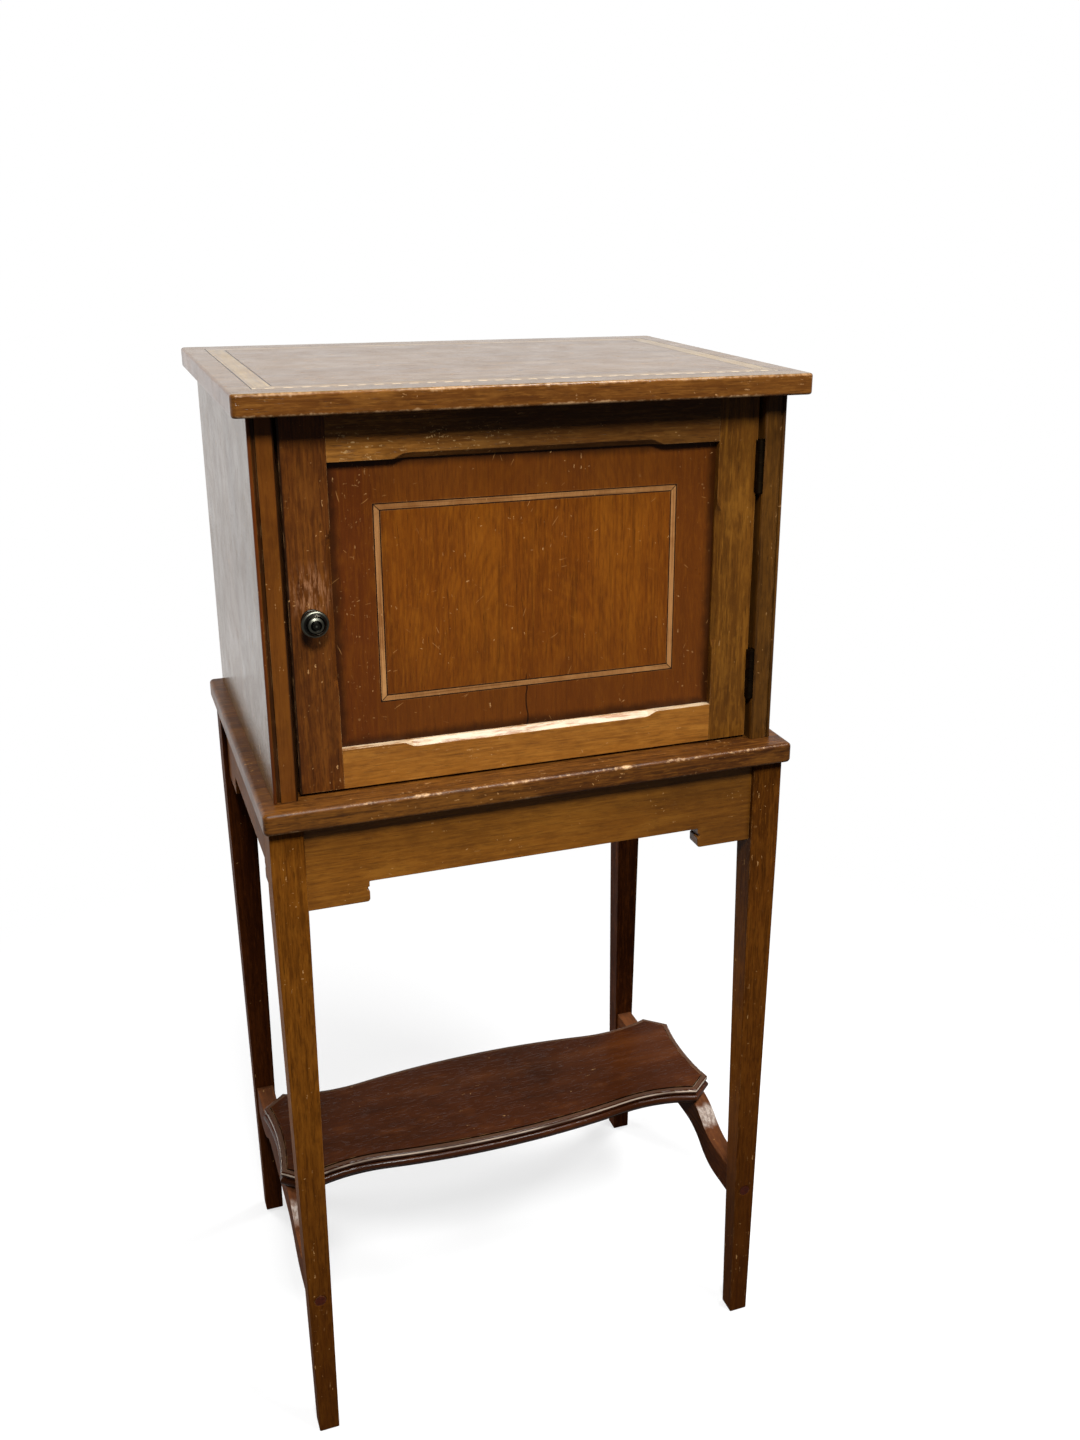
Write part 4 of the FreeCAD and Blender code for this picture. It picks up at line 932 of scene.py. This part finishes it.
def door_finishes():
    front_marks = on_front("door_panel", panel_border, panel_shade_and_grime, panel_crack, panel_scratches)
    panel = wood("panel_wood", "Z", PANEL_TONES, seed=8, specks=0.5, edge_wear=0.2, streaks=0.8,
                 marks=(panel_figure, front_marks))
    put(panel, "door_panel")

    stile_marks = (on_front("door_left_stile", rubbed_by_hand), gap_shade("door_left_stile", "left"))
    left = wood("left_stile_wood", "Z", LEFT_STILE_TONES, seed=9, specks=1.0, edge_wear=0.9,
                marks=stile_marks)
    put(left, "door_left_stile")
    right = wood("right_stile_wood", "Z", RIGHT_STILE_TONES, seed=10, specks=0.4)
    put(right, "door_right_stile")

    rail_marks = (painted_shade_to_right(*RAIL_SHADE, share=0.62), on_front("door_top_rail", chipped_end))
    upper = wood("top_rail_wood", "X", TOP_RAIL_TONES, seed=11, specks=0.6, edge_wear=1.0, marks=rail_marks)
    put(upper, "door_top_rail")
    lower = wood("bottom_rail_wood", "X", BOTTOM_RAIL_TONES, seed=12, specks=0.8, edge_wear=0.6,
                 roughness=0.36, wave=0.8, streaks=0.7, ior=THICK_VARNISH_IOR, marks=(chamfer_wear_and_highlight,))
    put(lower, "door_bottom_rail")


def leg_finishes():
    left = wood("front_left_leg_wood", "Z", LEFT_LEG_TONES, seed=13, specks=0.9, roughness=0.42,
                ior=WORN_VARNISH_IOR, marks=(painted_shade_low,))
    put(left, "front_left_leg")
    right = wood("front_right_leg_wood", "Z", HALF_SHADED_TONES, seed=14, specks=1.0, edge_wear=0.6,
                 roughness=0.42, ior=WORN_VARNISH_IOR, marks=(painted_shade_low,))
    put(right, "front_right_leg")
    for leg, seed in (("back_left_leg", 15), ("back_right_leg", 16)):
        back = wood(leg + "_wood", "Z", SHADED_TONES, seed, specks=0.2, edge_wear=0.2, roughness=0.5,
                    ior=WORN_VARNISH_IOR)
        put(back, leg)


def apron_finishes():
    front = wood("front_apron_wood", "X", APRON_TONES, seed=17, specks=0.9, edge_wear=0.4, streaks=0.65,
                 marks=(painted_shade_to_right(*APRON_SHADE, share=0.3),))
    put(front, "front_apron")
    back = wood("back_apron_wood", "X", SHADED_TONES, seed=18, specks=0.2, edge_wear=0.3, roughness=0.5)
    put(back, "back_apron")
    side = wood("side_apron_wood", "Y", HALF_SHADED_TONES, seed=19, edge_wear=0.4, roughness=0.42,
                ior=WORN_VARNISH_IOR)
    put(side, "left_apron", "right_apron")


def shelf_finishes():
    plug = wood("plug_wood", "Y", PLUG_TONES, seed=20, specks=0.0, edge_wear=0.2)
    put(plug, "stretcher_plugs")
    shelf = wood("shelf_wood", "X", SHELF_TONES, seed=21, specks=0.2, edge_wear=0.3, roughness=0.22,
                 wave=0.1, streaks=0.25, marks=(moulded_edge,))
    put(shelf, "shelf")
    stretcher = wood("stretcher_wood", "Y", STRETCHER_TONES, seed=22, specks=0.4, roughness=0.5,
                     ior=WORN_VARNISH_IOR, marks=(stretcher_highlights,))
    put(stretcher, "left_stretcher", "right_stretcher")


def inlay_finishes():
    top_band = wood("top_band_wood", "Y", TOP_BAND_TONES, seed=23, specks=0.2, edge_wear=0.0,
                    roughness=0.19, wave=0.05, marks=(mitres("top_banding", "Y"), inlay_dashes))
    put(top_band, "top_banding")
    door_band = wood("door_band_wood", "Z", DOOR_BAND_TONES, seed=24, edge_wear=0.0, roughness=0.32,
                     streaks=0.3, marks=(stained_strip, mitres("door_inlay", "Z")))
    put(door_band, "door_inlay")
    lines = wood("dark_line_wood", "X", LINE_TONES, seed=25, specks=0.1, edge_wear=0.0)
    put(lines, "top_banding_lines", "door_inlay_lines")


def metal_finishes():
    bronze = metal("dark_bronze", *BRONZE_TONES, seed=26, roughness=0.34, edge_wear=0.5)
    put(bronze, "knob_rose", "knob_spindle", "latch_spacer", "latch_tongue", "latch_nut")
    knob = metal("knob_bronze", *BRONZE_TONES, seed=29, roughness=0.34, edge_wear=0.5, marks=(painted_knob_rings,))
    put(knob, "knob")

    brass = metal("aged_brass", *BRASS_TONES, seed=27, roughness=0.5, edge_wear=0.35)
    put(brass, "hinge_case_screws", "hinge_door_screws")
    for hinge in ("upper_hinge", "lower_hinge"):
        put(brass, hinge + "_case_leaf", hinge + "_door_leaf", hinge + "_pin")

    steel = metal("steel", *STEEL_TONES, seed=28, roughness=0.4, edge_wear=0.5)
    put(steel, "top_screws", "case_screws", "stand_screws")
    put(steel, "stretcher_screws", "shelf_screws", "back_board_pins")


def round_edges():
    """Eases the sharp edges: joins the corners, joins flat faces, then rounds."""
    for width, names in EDGE_ROUNDING.items():
        for name in names:
            weld = nodes[name].modifiers.new("weld", "WELD")
            weld.merge_threshold = WELD_DISTANCE
            flat = nodes[name].modifiers.new("flat", "DECIMATE")
            flat.decimate_type = "DISSOLVE"
            flat.angle_limit = FLAT_ANGLE
            bevel = nodes[name].modifiers.new("round", "BEVEL")
            bevel.limit_method = "ANGLE"
            bevel.angle_limit = SHARP_ANGLE
            bevel.width = width
            bevel.segments = ROUNDING_SEGMENTS
            bevel.use_clamp_overlap = False


# Camera, in metres, angles and pixels of the whole picture
CAMERA_PLACE = Vector((-0.30656, -1.04258, 0.95183))
CAMERA_YAW = math.radians(21.45)
CAMERA_PITCH = math.radians(19.75)
CAMERA_ROLL = math.radians(-0.62)
IMAGE_WIDTH = 1080
IMAGE_HEIGHT = 1440
FOCAL_PIXELS = 1397.16
IMAGE_MIDDLE = (600.56, 702.06)


def make_camera():
    data = bpy.data.cameras.new("camera")
    data.sensor_fit = "VERTICAL"
    data.sensor_height = data.sensor_width
    data.lens = FOCAL_PIXELS / IMAGE_HEIGHT * data.sensor_height
    data.shift_x = (IMAGE_WIDTH / 2 - IMAGE_MIDDLE[0]) / IMAGE_HEIGHT
    data.shift_y = (IMAGE_MIDDLE[1] - IMAGE_HEIGHT / 2) / IMAGE_HEIGHT
    ahead = Vector((
        math.sin(CAMERA_YAW) * math.cos(CAMERA_PITCH),
        math.cos(CAMERA_YAW) * math.cos(CAMERA_PITCH),
        -math.sin(CAMERA_PITCH),
    ))
    right = Vector((math.cos(CAMERA_YAW), -math.sin(CAMERA_YAW), 0))
    down = ahead.cross(right)
    across = math.cos(CAMERA_ROLL) * right + math.sin(CAMERA_ROLL) * down
    lower = math.cos(CAMERA_ROLL) * down - math.sin(CAMERA_ROLL) * right
    axes = Matrix((across, -lower, -ahead)).transposed().to_4x4()
    camera = bpy.data.objects.new("camera", data)
    camera.matrix_world = Matrix.Translation(CAMERA_PLACE) @ axes
    bpy.context.scene.collection.objects.link(camera)
    bpy.context.scene.camera = camera


# Studio, in metres and watts. The sky's ranges are parts of a direction one unit long.
WHITE = (1, 1, 1, 1)
AMBIENT = 0.07
DIM_SIDE = 0.06
LOW_SKY = (0.55, 0.25)
BACK_SKY = (-0.2, 0.4)
FLOOR_SEEN = 0.9
FLOOR_BOUNCE = 0.08
FLOOR_SIZE = 12.0
FLOOR_DROP = 0.2 * MM
FLOOR_BACK = (-0.2, 0.5)
FLOOR_FAR = (0.8, 4.0)
FLOOR_FAR_SHARES = (0.4, 1.0)
FLOOR_GLOW = (0.3, 0.95)
FLOOR_GLOW_SHARES = (0.6, 1.0)
LAMP_AIM = Vector((0, 0, 0.5))
Lamp = namedtuple("Lamp", "name place size power mirrored")
LAMPS = (
    Lamp("ceiling_light", (0.7, -0.9, 2.7), 0.6, 50, True),
    Lamp("front_light", (-0.3, -1.48, 2.08), 0.42, 46, True),
    Lamp("back_light", (-1.3, 2.2, 1.1), 0.8, 44, False),
    Lamp("left_light", (-2.2, 0.9, 1.3), 0.8, 24, False),
    Lamp("right_light", (2.2, 0.9, 1.3), 0.8, 36, False),
)


def seen_directly(g, open_side):
    """1 for rays from the camera or through glass, open_side for rays off glossy surfaces, else 0."""
    path = g.node("ShaderNodeLightPath").outputs
    glossy = g.product(path["Is Glossy Ray"], open_side)
    return g.highest(path["Is Camera Ray"], path["Is Transmission Ray"], glossy)


def make_world():
    """White to the camera, a low light all round, and to glossy surfaces white only low at the back."""
    world = bpy.data.worlds.new("studio")
    bpy.context.scene.world = world
    g = Graph(world, "Generated")
    low_back = g.product(g.step(g.y, *BACK_SKY), g.step(g.z, *LOW_SKY))
    level = g.highest(seen_directly(g, g.scaled(low_back, DIM_SIDE, 1.0)), AMBIENT)
    back = g.node("ShaderNodeBackground", {"Color": WHITE, "Strength": level})
    g.node("ShaderNodeOutputWorld", {"Surface": back.outputs[0]})


def make_lights():
    for lamp in LAMPS:
        data = bpy.data.lights.new(lamp.name, "AREA")
        data.size = lamp.size
        data.energy = lamp.power
        light = bpy.data.objects.new(lamp.name, data)
        light.visible_glossy = lamp.mirrored
        light.visible_camera = False
        light.location = lamp.place
        light.rotation_euler = (LAMP_AIM - Vector(lamp.place)).to_track_quat("-Z", "Y").to_euler()
        bpy.context.scene.collection.objects.link(light)


def floor_paint():
    """Pale paint that takes the shadow near the object and glows as white as the background far off."""
    g = Graph(bpy.data.materials.new("floor_paint"))
    length = g.vector_math("LENGTH", {0: g.place})["Value"]
    far = g.scaled(g.step(length, *FLOOR_FAR), *FLOOR_FAR_SHARES)
    back = g.scaled(g.step(g.y, *FLOOR_BACK), DIM_SIDE, 1.0)
    seen = seen_directly(g, g.product(back, far))
    paint = g.node("ShaderNodeBsdfDiffuse", {"Color": g.scaled(seen, FLOOR_BOUNCE, FLOOR_SEEN)})
    glow = g.node("ShaderNodeEmission", {"Color": WHITE, "Strength": 1.0})
    share = g.product(g.scaled(g.step(length, *FLOOR_GLOW), *FLOOR_GLOW_SHARES), seen)
    both = g.node("ShaderNodeMixShader", {0: share, 1: paint.outputs[0], 2: glow.outputs[0]})
    g.node("ShaderNodeOutputMaterial", {"Surface": both.outputs[0]})
    return g.owner


def make_floor():
    mesh = bpy.data.meshes.new("floor")
    half = FLOOR_SIZE / 2
    corners = [(-half, -half), (half, -half), (half, half), (-half, half)]
    mesh.from_pydata([(x, y, -FLOOR_DROP) for x, y in corners], [], [(0, 1, 2, 3)])
    mesh.materials.append(floor_paint())
    floor = bpy.data.objects.new("floor", mesh)
    bpy.context.scene.collection.objects.link(floor)


case_finishes()
door_finishes()
leg_finishes()
apron_finishes()
shelf_finishes()
inlay_finishes()
metal_finishes()
round_edges()
make_camera()
make_world()
make_lights()
make_floor()
bpy.context.scene.view_settings.view_transform = "Standard"
